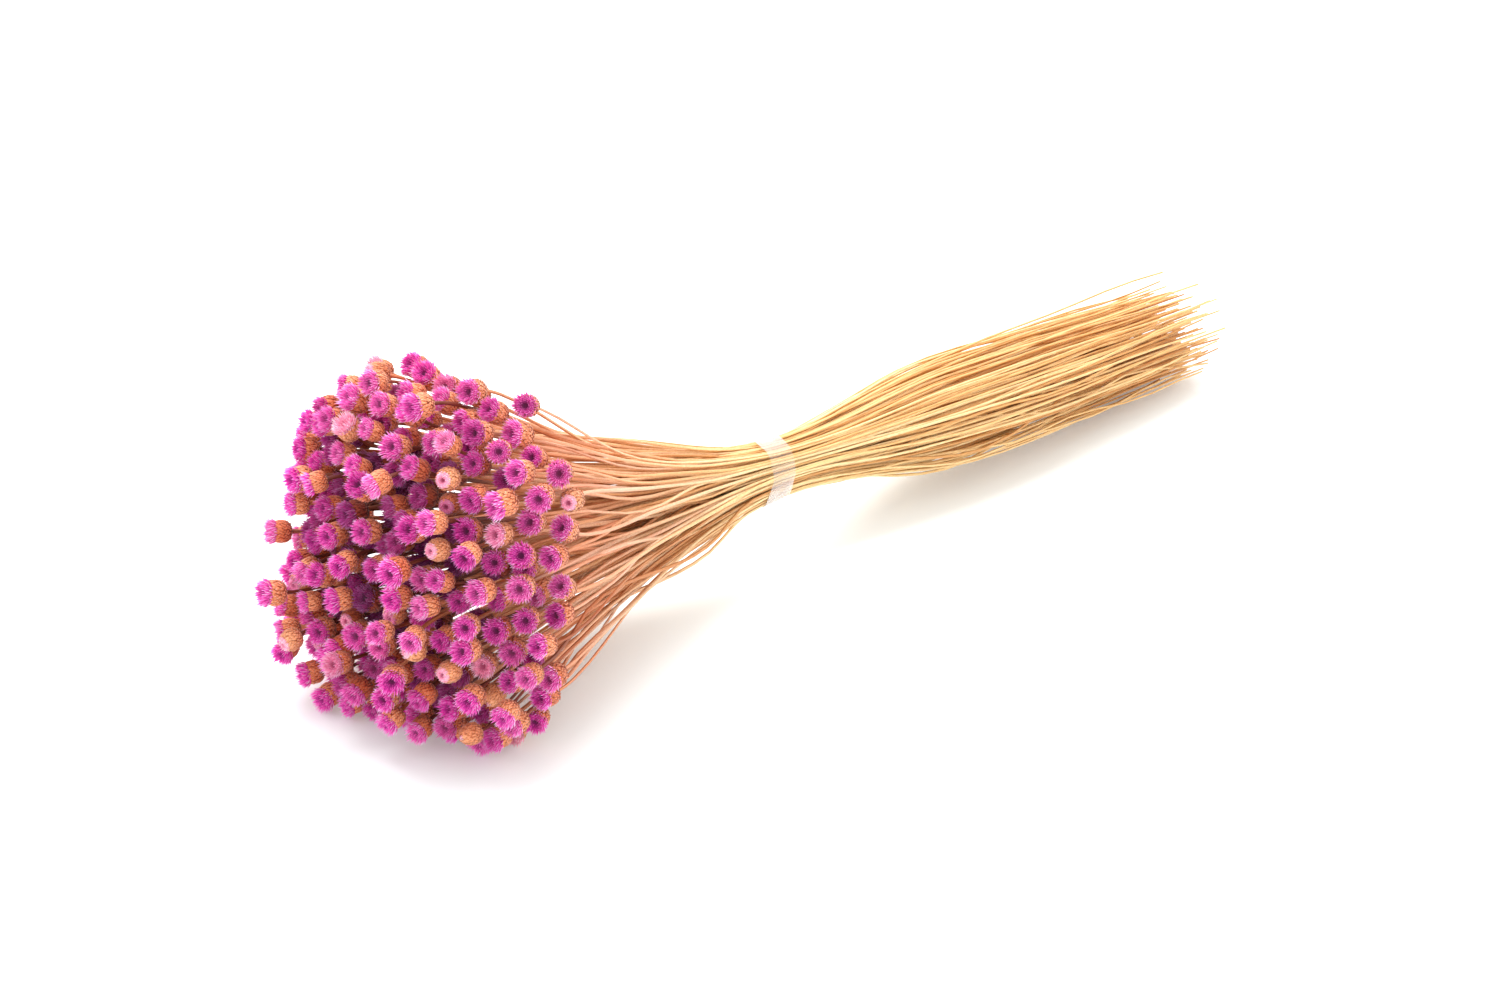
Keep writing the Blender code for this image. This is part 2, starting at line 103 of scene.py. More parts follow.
def smooth_step(share: ndarray | float) -> ndarray | float:
    """Eases a share from 0 to 1."""
    share = np.clip(share, 0, 1)
    return share * share * (3 - 2 * share)


def round_angles(count: int) -> ndarray:
    """Spaces angles evenly round a full turn."""
    return np.arange(count) * FULL_TURN / count


def out_at(angle: float) -> ndarray:
    """Points away from an upright axis."""
    return np.array([math.cos(angle), math.sin(angle), 0.0])


def run_lengths(points: ndarray) -> ndarray:
    """Measures how far along a line each of its points is."""
    return np.concatenate([[0], np.cumsum(np.linalg.norm(np.diff(points, axis=0), axis=1))])


def add_node(tree: NodeTree, kind: str, values: dict | None = None, links: dict | None = None,
             stops: tuple = (), **settings: object) -> Node:
    """Adds a node with its settings and links.

    Args:
        tree: The node tree that takes it.
        kind: The node's type.
        values: A constant for each input named or numbered here.
        links: The output that feeds each input named or numbered here.
        stops: Places and hex colours, for a node that holds a colour ramp.
        settings: The node's own properties.

    Returns:
        The new node.
    """
    node = tree.nodes.new(kind)
    for name, value in settings.items():
        setattr(node, name, value)
    for socket, value in (values or {}).items():
        node.inputs[socket].default_value = value
    for socket, source in (links or {}).items():
        tree.links.new(source, node.inputs[socket])
    for index, (place, colour) in enumerate(stops):
        elements = node.color_ramp.elements
        element = elements[index] if index < 2 else elements.new(place)
        element.position, element.color = place, linear(colour)
    return node


def new_material(name: str, sockets: dict[str, object]) -> tuple[Material, Node]:
    """Makes a material with constants on its shader.

    Args:
        name: The real material's name.
        sockets: The shader's constants by input.

    Returns:
        The material and its shader node.
    """
    material = bpy.data.materials.new(name)
    material.use_nodes = True
    shader = material.node_tree.nodes["Principled BSDF"]
    for socket, value in sockets.items():
        shader.inputs[socket].default_value = value
    return material, shader


def new_shape(*layers: str) -> BMesh:
    """Starts a mesh under construction.

    Args:
        layers: The point attributes that it carries.

    Returns:
        The empty mesh.
    """
    bm = bmesh.new()
    for layer in layers:
        bm.verts.layers.float.new(layer)
    return bm


def to_mesh(name: str, bm: BMesh) -> Mesh:
    """Turns a mesh under construction into a mesh.

    Args:
        name: The mesh's name.
        bm: The shape, which is freed.

    Returns:
        The new mesh.
    """
    mesh = bpy.data.meshes.new(name)
    bm.to_mesh(mesh)
    bm.free()
    return mesh


def add_object(name: str, data: ID) -> Object:
    """Adds an object at the origin.

    Args:
        name: Its name.
        data: Its mesh, camera or lamp.

    Returns:
        The new object.
    """
    added = bpy.data.objects.new(name, data)
    bpy.context.scene.collection.objects.link(added)
    return added


def hand_over(name: str, bm: BMesh, slot: str, node: str, finishes: dict[str, Material]) -> None:
    """Makes a piece of a finished shape, with its body, its slot and the solid that it stands for.

    Args:
        name: The piece's name.
        bm: The shape, which is freed.
        slot: The record's material slot.
        node: The solid that the piece replaces.
        finishes: Materials by slot.
    """
    bmesh.ops.recalc_face_normals(bm, faces=bm.faces)
    mesh = to_mesh(name, bm)
    mesh.materials.append(finishes[slot])
    mesh.shade_smooth()
    mesh.set_sharp_from_angle(angle=SHARP_ANGLE)
    piece = add_object(name, mesh)
    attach(piece, BODY)
    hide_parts(node)
    LOG.info("%s: %d faces", name, len(mesh.polygons))


def copy_in(bm: BMesh, mesh: Mesh, matrix: Matrix) -> list[BMVert]:
    """Adds a copy of a finished shape.

    Args:
        bm: The mesh under construction.
        mesh: The shape.
        matrix: The copy's place, turn and size.

    Returns:
        The copy's points.
    """
    before = len(bm.verts)
    bm.from_mesh(mesh)
    bm.verts.ensure_lookup_table()
    added = bm.verts[before:]
    bmesh.ops.transform(bm, matrix=matrix, verts=added)
    return added


def loft(bm: BMesh, rings: list[ndarray], values: dict[str, ndarray]) -> None:
    """Pulls a closed tube through rings of corners.

    Args:
        bm: The mesh under construction.
        rings: The corners of each ring, in order.
        values: For each point attribute, its value on each ring.
    """
    made = bmesh.ops.create_circle(bm, cap_ends=True, segments=len(rings[0]), radius=1.0)
    cap = made["verts"][0].link_faces[0]
    layers = bm.verts.layers.float
    for index, ring in enumerate(rings):
        if index:
            cap = bmesh.ops.extrude_discrete_faces(bm, faces=[cap])["faces"][0]
        for vertex, corner in zip(cap.verts, ring):
            vertex.co = corner
            for name, along in values.items():
                vertex[layers[name]] = along[index]


@dataclass(frozen=True)
class DryFinish:
    """What the finishes of a dry plant share: colours along each piece, each flower's tone, which on the
    heads carries painted shade, and a grain.
    """

    name: str = "dry_plant"
    sockets: tuple = ()
    run: str = TIP
    colours: tuple = ()
    faded: tuple = ()
    tones: tuple = ()
    grain_size: tuple = ()
    grains: tuple = ()
    grain_share: float = 0.0
    relief: tuple = ()

    def material(self) -> Material:
        """Builds the material.

        Returns:
            The material, whose colours run to the faded ones and are multiplied by the tone and the grain.
        """
        material, shader = new_material(self.name, dict(self.sockets))
        tree = material.node_tree
        run, tone, fade = (
            add_node(tree, "ShaderNodeAttribute", attribute_name=name).outputs["Fac"]
            for name in (self.run, TONE, FADE)
        )
        body = add_node(tree, "ShaderNodeValToRGB", links={0: run}, stops=self.colours).outputs[0]
        if self.faded:
            faded = add_node(tree, "ShaderNodeValToRGB", links={0: run}, stops=self.faded).outputs[0]
            mix = add_node(tree, "ShaderNodeMix", data_type="RGBA",
                           links={MIX_SHARE: fade, MIX_FIRST: body, MIX_SECOND: faded})
            body = mix.outputs[MIX_RESULT]
        layers = [(1.0, tone, self.tones)]
        if self.grains:
            place = add_node(tree, "ShaderNodeTexCoord").outputs["Object"]
            stretch = add_node(tree, "ShaderNodeMapping", links={0: place},
                               values={"Scale": [1 / size for size in self.grain_size]})
            noise = add_node(tree, "ShaderNodeTexNoise", links={0: stretch.outputs[0]}, values={"Scale": 1.0})
            layers.append((self.grain_share, noise.outputs[0], self.grains))
        if self.relief:
            bump = add_node(tree, "ShaderNodeBump", values=dict(self.relief),
                            links={"Height": noise.outputs[0]})
            tree.links.new(bump.outputs[0], shader.inputs["Normal"])
        for share, source, stops in layers:
            layer = add_node(tree, "ShaderNodeValToRGB", links={0: source}, stops=stops).outputs[0]
            mix = add_node(tree, "ShaderNodeMix", data_type="RGBA", blend_type="MULTIPLY",
                           values={MIX_SHARE: share}, links={MIX_FIRST: body, MIX_SECOND: layer})
            body = mix.outputs[MIX_RESULT]
        tree.links.new(body, shader.inputs["Base Color"])
        return material


@dataclass(frozen=True)
class StrawFinish(DryFinish):
    """Air-dried flower stems: pale gold, faintly glossy and ribbed along, pinker toward the heads, and dark
    brown in their last stretch, which is painted shade among the heads.
    """

    name: str = "air_dried_straw"
    sockets: tuple = (("Roughness", 0.52), ("IOR", 1.5))
    run: str = ALONG
    # The last two stops are painted shade: the stems turn dark brown where they run in among the heads
    colours: tuple = ((0.0, "F0CE92"), (0.30, "F8DDA6"), (0.50, "FCE8B6"), (0.68, "F8D8B0"), (0.85, "F4C8AE"),
                      (0.92, "E8A280"), (0.98, "74382A"))
    tones: tuple = ((0.0, "C08C5E"), (0.25, "E4BE94"), (0.6, "FAEBD6"), (1.0, "FFFFFF"))
    # A real stem's ribs are about 0.1 mm apart, too fine to show, so they are drawn 0.35 mm wide.
    grain_size: tuple = (9.0 * MM, 0.35 * MM, 0.35 * MM)
    grains: tuple = ((0.30, "D2A880"), (0.62, "FFFFFF"))
    grain_share: float = 0.55
    relief: tuple = (("Strength", 0.35), ("Distance", 0.1 * MM))


@dataclass(frozen=True)
class BractFinish(DryFinish):
    """Dry papery scales: orange with pale thin tips, dark at their roots and on the core between them, which
    is painted shade where they overlap, with a dull sheen.
    """

    name: str = "papery_bract"
    sockets: tuple = (("Roughness", 0.6), ("IOR", 1.45), ("Sheen Weight", 0.2), ("Sheen Roughness", 0.5))
    # The dark first stop is painted shade at the scales' roots and on the core that shows between them
    colours: tuple = ((0.0, "943C22"), (0.35, "F8925C"), (0.65, "FFB68C"), (1.0, "FFDECA"))
    faded: tuple = ((0.0, "B8683C"), (0.45, "FAAE78"), (1.0, "FFD6B4"))
    # The dark end of the tones is painted shade on heads deep in the cluster, plus a random darkening
    tones: tuple = ((0.0, "84463C"), (0.36, "E8B8A4"), (0.64, "FFFAF6"), (1.0, "FFFFFF"))
    # The paper's fibres are too fine to show, so their mottling is drawn 0.9 mm wide.
    grain_size: tuple = (0.9 * MM, 0.9 * MM, 0.9 * MM)
    grains: tuple = ((0.30, "C08058"), (0.58, "FFFFFF"))
    grain_share: float = 0.8


@dataclass(frozen=True)
class FloretFinish(DryFinish):
    """Dyed dry florets: dark purple at their roots, painted shade deep in the tuft, magenta along, and pale
    at the points, partly bleached and partly painted highlight, with a fuzzy sheen.
    """

    name: str = "dyed_dry_florets"
    sockets: tuple = (("Roughness", 0.7), ("IOR", 1.45), ("Sheen Weight", 0.5), ("Sheen Roughness", 0.4),
                      ("Sheen Tint", linear("F9C6F2")))
    # The dark first stops are painted shade at the roots and in the tuft's hollow; the pale last stops are
    # partly bleached points and partly painted highlight
    colours: tuple = ((0.0, "5A0846"), (0.20, "C4269A"), (0.38, "FF50CC"), (0.57, "FFA0EC"), (0.74, "FFF0FF"))
    faded: tuple = ((0.0, "B05070"), (0.22, "F8A0B8"), (0.45, "FFD2DC"), (0.75, "FFF6F4"))
    # The dark end of the tones is painted shade on heads deep in the cluster, plus a random darkening
    tones: tuple = ((0.0, "74406C"), (0.36, "E8C0DE"), (0.62, "FFFAFF"), (1.0, "FFFFFF"))


@dataclass(frozen=True)
class TapeFinish:
    """Clear sticky tape: a glossy film, milky where the camera sees it edge-on, a painted sheen, and patchy
    where air is trapped under it.
    """

    cloud: float = 7.0 * MM
    detail: float = 3.0
    drifts: tuple = (0.08, 0.55)
    alphas: tuple = (0.05, 0.42)

    def material(self) -> Material:
        """Builds the material.

        Returns:
            The material, whose alpha drifts between clear and milky.
        """
        material, shader = new_material(
            "clear_tape_film", {"Roughness": 0.22, "IOR": 1.48, "Base Color": linear("FFF4EE")})
        tree = material.node_tree
        # Painted sheen: the film is made milkier where the camera sees it edge-on, in patches of noise
        edge_on_sheen = add_node(tree, "ShaderNodeAttribute", attribute_name=TONE).outputs["Fac"]
        place = add_node(tree, "ShaderNodeTexCoord").outputs["Object"]
        noise = add_node(tree, "ShaderNodeTexNoise", links={0: place},
                         values={"Scale": 1 / self.cloud, "Detail": self.detail})
        drift = add_node(tree, "ShaderNodeMath", operation="MULTIPLY", links={0: edge_on_sheen, 1: noise.outputs[0]})
        alpha = add_node(tree, "ShaderNodeMapRange", links={0: drift.outputs[0]},
                         values=dict(enumerate((*self.drifts, *self.alphas), 1)))
        tree.links.new(alpha.outputs[0], shader.inputs["Alpha"])
        return material


@dataclass(frozen=True)
class Flowers:
    """What the layout rule gives: every stem's path and every head's turn, size, kind and depth."""

    paths: ndarray
    turns: ndarray
    sizes: ndarray
    is_bud: ndarray
    depths: ndarray
    shift: ndarray


@dataclass(frozen=True)
class BunchLayout:
    """The rule that placed the solids, with the same driving sizes, seed and order of draws."""

    sprig_count: int = 58
    stems_per_sprig: int = 5
    seed: int = 9
    tail_end_x: float = 0.293
    tail_mid_x: float = 0.112
    fan_mid_x: float = -0.088
    tail_end: tuple = (0.0262, 0.0218, 0.0209)
    tail_mid: tuple = (0.0288, 0.0224, 0.0325)
    waist: tuple = (0.0114, 0.0104, 0.0412)
    tail_veer: float = 0.005
    tip_unevenness: float = 0.022
    tip_longest: float = 0.004
    cap_centre: tuple = (-0.1821, 0.0, 0.0649)
    cap_radii: tuple = (0.0339, 0.0559, 0.0587)
    cap_squareness: float = 4.00
    cap_lean: float = math.radians(8.3)
    cap_spread: float = 0.011
    cap_reach: float = math.radians(97)
    cap_crowding: float = 2.20
    cap_depth: float = 0.028
    cap_depth_peak: float = 0.017
    rim_depth: float = 0.21
    long_stem_share: float = 0.06
    long_stem_reach: tuple = (0.002, 0.007)
    fan_flare: float = 0.57
    corner_share: float = 0.07
    disc_jitter: float = 0.012
    spread_step: float = 0.3
    disc_rounds: int = 60
    waist_rounds: int = 400
    angle_steps: int = 200
    stem_radius: float = 0.00060
    stem_jitter: float = 0.0010
    head_sides: int = 5
    cup_rows: tuple = ((0.0034, 0.0052), (0.0080, 0.0046))
    open_row: tuple = (0.0114, 0.0057)
    bud_row: tuple = (0.0110, 0.0015)
    bud_share: float = 0.07
    head_middle: float = 0.0060
    head_turn_out: float = 0.10
    head_wobble: float = 0.19
    head_sizes: tuple = (0.80, 0.93, 0.99)
    capsule: tuple = (0.0046, 0.0100, 0.0057)
    clearance: float = 0.0003
    settle_rounds: int = 240
    settle_margin: float = 0.00012
    sister_space: float = 0.0009
    root_swell: float = 0.00015
    search_every: int = 30
    search_reach: float = 0.004
    least_lever: float = 0.4
    parallel: float = 1e-16
    knot_radius: float = 0.00125
    knot_space: float = 0.00060

    @property
    def stem_count(self) -> int:
        """How many stems there are."""
        return self.sprig_count * self.stems_per_sprig

    def spread_apart(self, points: ndarray, spacing: float, rounds: int,
                     limit: float = math.inf) -> ndarray:
        """Pushes points in a plane apart.

        Args:
            points: Their first places.
            spacing: The distance that each pair should keep.
            rounds: How often they are pushed.
            limit: A radius that they stay inside.

        Returns:
            Their new places.
        """
        others = 1 - np.eye(len(points))
        for _ in range(rounds):
            offset = points[:, None] - points[None]
            distance = np.linalg.norm(offset, axis=2) + np.eye(len(points))
            push = np.clip(spacing - distance, 0, None) * others
            points = points + self.spread_step * (offset / distance[..., None] * push[..., None]).sum(1)
            points = points / np.maximum(1, np.linalg.norm(points, axis=1, keepdims=True) / limit)
        return points

    def disc_places(self, rng: Generator) -> tuple[ndarray, ndarray, ndarray]:
        """Draws where the sprigs and their stems stand in a disc of radius 1.

        Args:
            rng: The source of the draws.

        Returns:
            Sunflower places for the sprigs, the corners of a ring for each, and even places for the stems.
        """
        index = np.arange(self.sprig_count)
        radius = np.sqrt((index + 0.5) / self.sprig_count)
        sprigs = np.stack([radius * np.cos(index * GOLDEN_ANGLE), radius * np.sin(index * GOLDEN_ANGLE)], 1)
        turn = rng.uniform(0, math.pi / 2, self.sprig_count)
        corner = turn[:, None] + round_angles(self.stems_per_sprig)
        corners = np.stack([np.cos(corner), np.sin(corner)], 2)
        stems = (sprigs[:, None] * (1 - self.corner_share) + corners * self.corner_share).reshape(-1, 2)
        stems = stems + rng.normal(0, self.disc_jitter, stems.shape)
        even = math.sqrt(FULL_TURN / self.stem_count / math.sqrt(3))
        return sprigs, corners.reshape(-1, 2), self.spread_apart(stems, even, self.disc_rounds, 1.0)

    def cap_angles(self, radius: ndarray) -> ndarray:
        """Gives each head about the same area of the cap.

        Args:
            radius: How far its place is from the middle of the disc.

        Returns:
            Its angle from the middle of the cap.
        """
        angle = np.linspace(0, self.cap_reach, self.angle_steps)
        depth, side = self.cap_radii[0], self.cap_radii[1]
        strip = np.sin(angle) * np.hypot(side * np.cos(angle), depth * np.sin(angle))
        area = np.concatenate([[0], np.cumsum((strip[1:] + strip[:-1]) / 2)])
        return np.interp(radius ** self.cap_crowding, area / area[-1], angle)

    def cap_surface(self, places: ndarray) -> tuple[ndarray, ndarray]:
        """Carries places from the disc to the cap.

        Args:
            places: The places in the disc.

        Returns:
            The points on the cap, and the outward directions there.
        """
        polar = self.cap_angles(np.linalg.norm(places, axis=1))
        round_angle = np.arctan2(places[:, 1], places[:, 0])
        side = np.sin(polar) * np.cos(round_angle)
        rise = np.sin(polar) * np.sin(round_angle)
        power = self.cap_squareness
        ray = np.stack([-np.cos(polar), side, rise], 1)
        ray = ray / (np.abs(ray) ** power).sum(1, keepdims=True) ** (1 / power)
        spread = np.stack([np.ones(len(ray)), 1 - self.cap_spread * ray[:, 2], np.ones(len(ray))], 1)
        radii = np.array(self.cap_radii) * spread
        normal = unit(np.sign(ray) * np.abs(ray) ** (power - 1) / radii)
        cosine, sine = math.cos(self.cap_lean), math.sin(self.cap_lean)
        lean = np.array([[cosine, 0, sine], [0, 1, 0], [-sine, 0, cosine]])
        return np.array(self.cap_centre) + (ray * radii) @ lean.T, normal @ lean.T

    def head_turns(self, axes: ndarray, spins: ndarray) -> ndarray:
        """Turns the heads.

        Args:
            axes: The way that each head faces.
            spins: How far it is turned round its axis.

        Returns:
            One rotation matrix for each head, whose third column is its axis.
        """
        side = unit(np.cross(axes, UP))
        front = np.cross(axes, side)
        across = side * np.cos(spins)[:, None] + front * np.sin(spins)[:, None]
        return np.stack([across, np.cross(axes, across), axes], axis=2)

    def head_outline(self, is_bud: bool) -> ndarray:
        """Gives the outer corners of a head's solid.

        Args:
            is_bud: Whether the head is closed.

        Returns:
            The corners in the head's own frame.
        """
        steps = round_angles(self.head_sides)
        half = math.pi / self.head_sides
        rows = (*self.cup_rows, self.bud_row if is_bud else self.open_row)
        return np.concatenate([
            np.stack([r * np.cos(steps + a * half), r * np.sin(steps + a * half),
                      np.full(self.head_sides, z)], 1)
            for a, (z, r) in enumerate(rows)
        ])

    def nearest(self, start_a: ndarray, end_a: ndarray, start_b: ndarray,
                end_b: ndarray) -> tuple[ndarray, ndarray, ndarray]:
        """Finds where each pair of straight pieces comes nearest.

        Args:
            start_a: Where the first pieces start.
            end_a: Where they end.
            start_b: Where the second pieces start.
            end_b: Where they end.

        Returns:
            The nearest spot as a share of each piece's length, and the way from the second to the first.
        """
        along_a, along_b, between = end_a - start_a, end_b - start_b, start_a - start_b
        aa, bb, ab = (along_a * along_a).sum(1), (along_b * along_b).sum(1), (along_a * along_b).sum(1)
        a_between, b_between = (along_a * between).sum(1), (along_b * between).sum(1)
        cross = aa * bb - ab * ab
        share = (ab * b_between - a_between * bb) / np.maximum(cross, self.parallel)
        share_a = np.clip(np.where(cross > self.parallel, share, 0.5), 0, 1)
        share_b = np.clip((ab * share_a + b_between) / bb, 0, 1)
        share_a = np.clip((ab * share_b - a_between) / aa, 0, 1)
        gap = start_a + (end_a - start_a) * share_a[:, None]
        return share_a, share_b, gap - start_b - (end_b - start_b) * share_b[:, None]

    def settle(self, paths: ndarray, axes: ndarray, sizes: ndarray, lowest: ndarray) -> ndarray:
        """Moves bends, tips and heads until none comes within the clearance of another.

        Args:
            paths: The stems' control points.
            axes: The heads' axes.
            sizes: The heads' sizes.
            lowest: How far each head reaches below its base.

        Returns:
            The settled control points.
        """
        piece_from = np.array([TAIL_TIP, TAIL_BEND, TIE, FAN_BEND, HEAD_LOW])
        piece_to = np.array([TAIL_BEND, TIE, FAN_BEND, HEAD_BASE, HEAD_HIGH])
        head_piece, tied_pieces = 4, (1, 2)
        from_z, to_z, fat = self.capsule
        stem = np.repeat(np.arange(self.stem_count), len(piece_from))
        piece = np.tile(np.arange(len(piece_from)), self.stem_count)
        radius = np.where(piece == head_piece, fat * sizes[stem], self.stem_radius)
        radius = radius + self.root_swell * np.isin(piece, tied_pieces)
        first, second = np.triu_indices(len(stem), 1)
        same_sprig = stem[first] // self.stems_per_sprig == stem[second] // self.stems_per_sprig
        tied = np.isin(piece[first], tied_pieces) & np.isin(piece[second], tied_pieces)
        apart = (stem[first] != stem[second]) & ~(same_sprig & tied)
        first, second = first[apart], second[apart]
        sisters = same_sprig[apart] & (piece[first] != head_piece) & (piece[second] != head_piece)
        # The axes along which each control point may move: the tie stays, and only heads move lengthwise
        free = np.array([(0, 1, 1), (0, 1, 1), (0, 0, 0), (0, 1, 1), (1, 1, 1)])
        for count in range(self.settle_rounds):
            ends = [paths[:, HEAD_BASE] + axes * sizes[:, None] * along for along in (from_z, to_z)]
            points = np.concatenate([paths, ends[0][:, None], ends[1][:, None]], 1)
            start, end = points[stem, piece_from[piece]], points[stem, piece_to[piece]]
            if count % self.search_every == 0:
                low, high = np.minimum(start[:, 0], end[:, 0]), np.maximum(start[:, 0], end[:, 0])
                reach = 2 * fat + self.search_reach
                level = (low[first] < high[second] + reach) & (low[second] < high[first] + reach)
                a, b = first[level], second[level]
                gap = self.nearest(start[a], end[a], start[b], end[b])[2]
                close = np.linalg.norm(gap, axis=1) < radius[a] + radius[b] + self.search_reach
                near_a, near_b = a[close], b[close]
                keep = self.clearance + self.settle_margin + self.sister_space * sisters[level][close]
            share_a, share_b, gap = self.nearest(start[near_a], end[near_a], start[near_b], end[near_b])
            lack = radius[near_a] + radius[near_b] + keep - np.linalg.norm(gap, axis=1)
            hit = lack > 0
            a, b, gap, lack = near_a[hit], near_b[hit], gap[hit], lack[hit]
            share_a, share_b = share_a[hit], share_b[hit]
            both_stems = (piece[a] != head_piece) & (piece[b] != head_piece)
            gap = np.where(both_stems[:, None], gap * np.array([0, 1, 1]), gap)
            push = unit(gap) * lack[:, None] / 2
            move, load = np.zeros_like(paths), np.zeros(paths.shape[:2])
            for one, share, sign in ((a, share_a, 1), (b, share_b, -1)):
                is_head = piece[one] == head_piece
                spread = np.maximum(share ** 2 + (1 - share) ** 2, self.least_lever)
                lever = np.where(is_head, 1, 1 / spread)
                for point, weight in ((piece_from[piece[one]], 1 - share), (piece_to[piece[one]], share)):
                    point = np.where(is_head, HEAD_BASE, point)
                    weight = np.where(is_head, 0.5, weight)
                    np.add.at(move, (stem[one], point), sign * push * (weight * lever)[:, None])
                    np.add.at(load, (stem[one], point), weight)
            move = move / np.sqrt(np.maximum(load, 1))[..., None]
            paths = paths + move * free
            paths[:, :HEAD_BASE, 2] = np.maximum(paths[:, :HEAD_BASE, 2], self.stem_radius)
            paths[:, HEAD_BASE, 2] = np.maximum(paths[:, HEAD_BASE, 2], -lowest)
        return paths

    def flowers(self) -> Flowers:
        """Lays out the bunch.

        Returns:
            The settled bunch, with its box's middle over the origin.
        """
        rng = np.random.default_rng(self.seed)
        count = self.stem_count
        sprigs, corners, places = self.disc_places(rng)
        spacing = 2 * self.knot_radius + self.knot_space
        waist = self.spread_apart(sprigs * np.array(self.waist[:2]), spacing, self.waist_rounds)
        paths = np.zeros((count, HEAD_BASE + 1, 3))
        knots = waist.repeat(self.stems_per_sprig, 0)
        paths[:, TIE, 1:] = knots + corners * (self.knot_radius - self.stem_radius)
        paths[:, TIE, 2] += self.waist[2]
        for point, x, (half_width, half_height, height) in (
            (TAIL_TIP, self.tail_end_x, self.tail_end),
            (TAIL_BEND, self.tail_mid_x, self.tail_mid),
        ):
            paths[:, point, 0] = x
            paths[:, point, 1] = places[:, 0] * half_width + self.tail_veer * x / self.tail_end_x
            paths[:, point, 2] = height + places[:, 1] * half_height
            paths[:, point, 1:] += rng.normal(0, self.stem_jitter, (count, 2))
        paths[:, TAIL_TIP, 0] += rng.uniform(-self.tip_unevenness, self.tip_longest, count)
        head, normal = self.cap_surface(places)
        toward_tie = unit(paths[:, TIE] - head)
        depth = rng.triangular(0, self.cap_depth_peak, self.cap_depth, count)
        depth = depth * (1 - (1 - self.rim_depth) * (places ** 2).sum(1))
        is_long = rng.random(count) < self.long_stem_share
        depth = np.where(is_long, -rng.uniform(*self.long_stem_reach, count), depth)
        wobble = rng.normal(0, self.head_wobble, (count, 3))
        axes = unit(self.head_turn_out * normal - (1 - self.head_turn_out) * toward_tie + wobble)
        sizes = rng.triangular(*self.head_sizes, count)
        is_bud = rng.random(count) < self.bud_share
        turns = self.head_turns(axes, rng.uniform(0, FULL_TURN, count))
        paths[:, HEAD_BASE] = head + toward_tie * depth[:, None] - axes * self.head_middle
        reach = self.fan_mid_x / paths[:, HEAD_BASE, 0]
        flare = (self.fan_flare * reach + (1 - self.fan_flare) * reach ** 2)[:, None]
        paths[:, FAN_BEND] = paths[:, TIE] + (paths[:, HEAD_BASE] - paths[:, TIE]) * flare
        paths[:, FAN_BEND, 0] = self.fan_mid_x
        paths[:, FAN_BEND, 1:] += rng.normal(0, self.stem_jitter, (count, 2))
        outlines = [self.head_outline(kind) for kind in (False, True)]
        spans = np.stack([np.einsum("nij,kj->nki", turns, outline) for outline in outlines])
        spans = spans[is_bud.astype(int), np.arange(count)] * sizes[:, None, None]
        paths = self.settle(paths, axes, sizes, spans[..., 2].min(1))
        tips = paths[:, HEAD_BASE, None] + spans
        low = np.minimum(paths.min((0, 1)), tips.min((0, 1)))
        high = np.maximum(paths.max((0, 1)), tips.max((0, 1)))
        shift = np.array([-(low[0] + high[0]) / 2, -(low[1] + high[1]) / 2, 0])
        return Flowers(paths + shift, turns, sizes, is_bud, depth, shift)


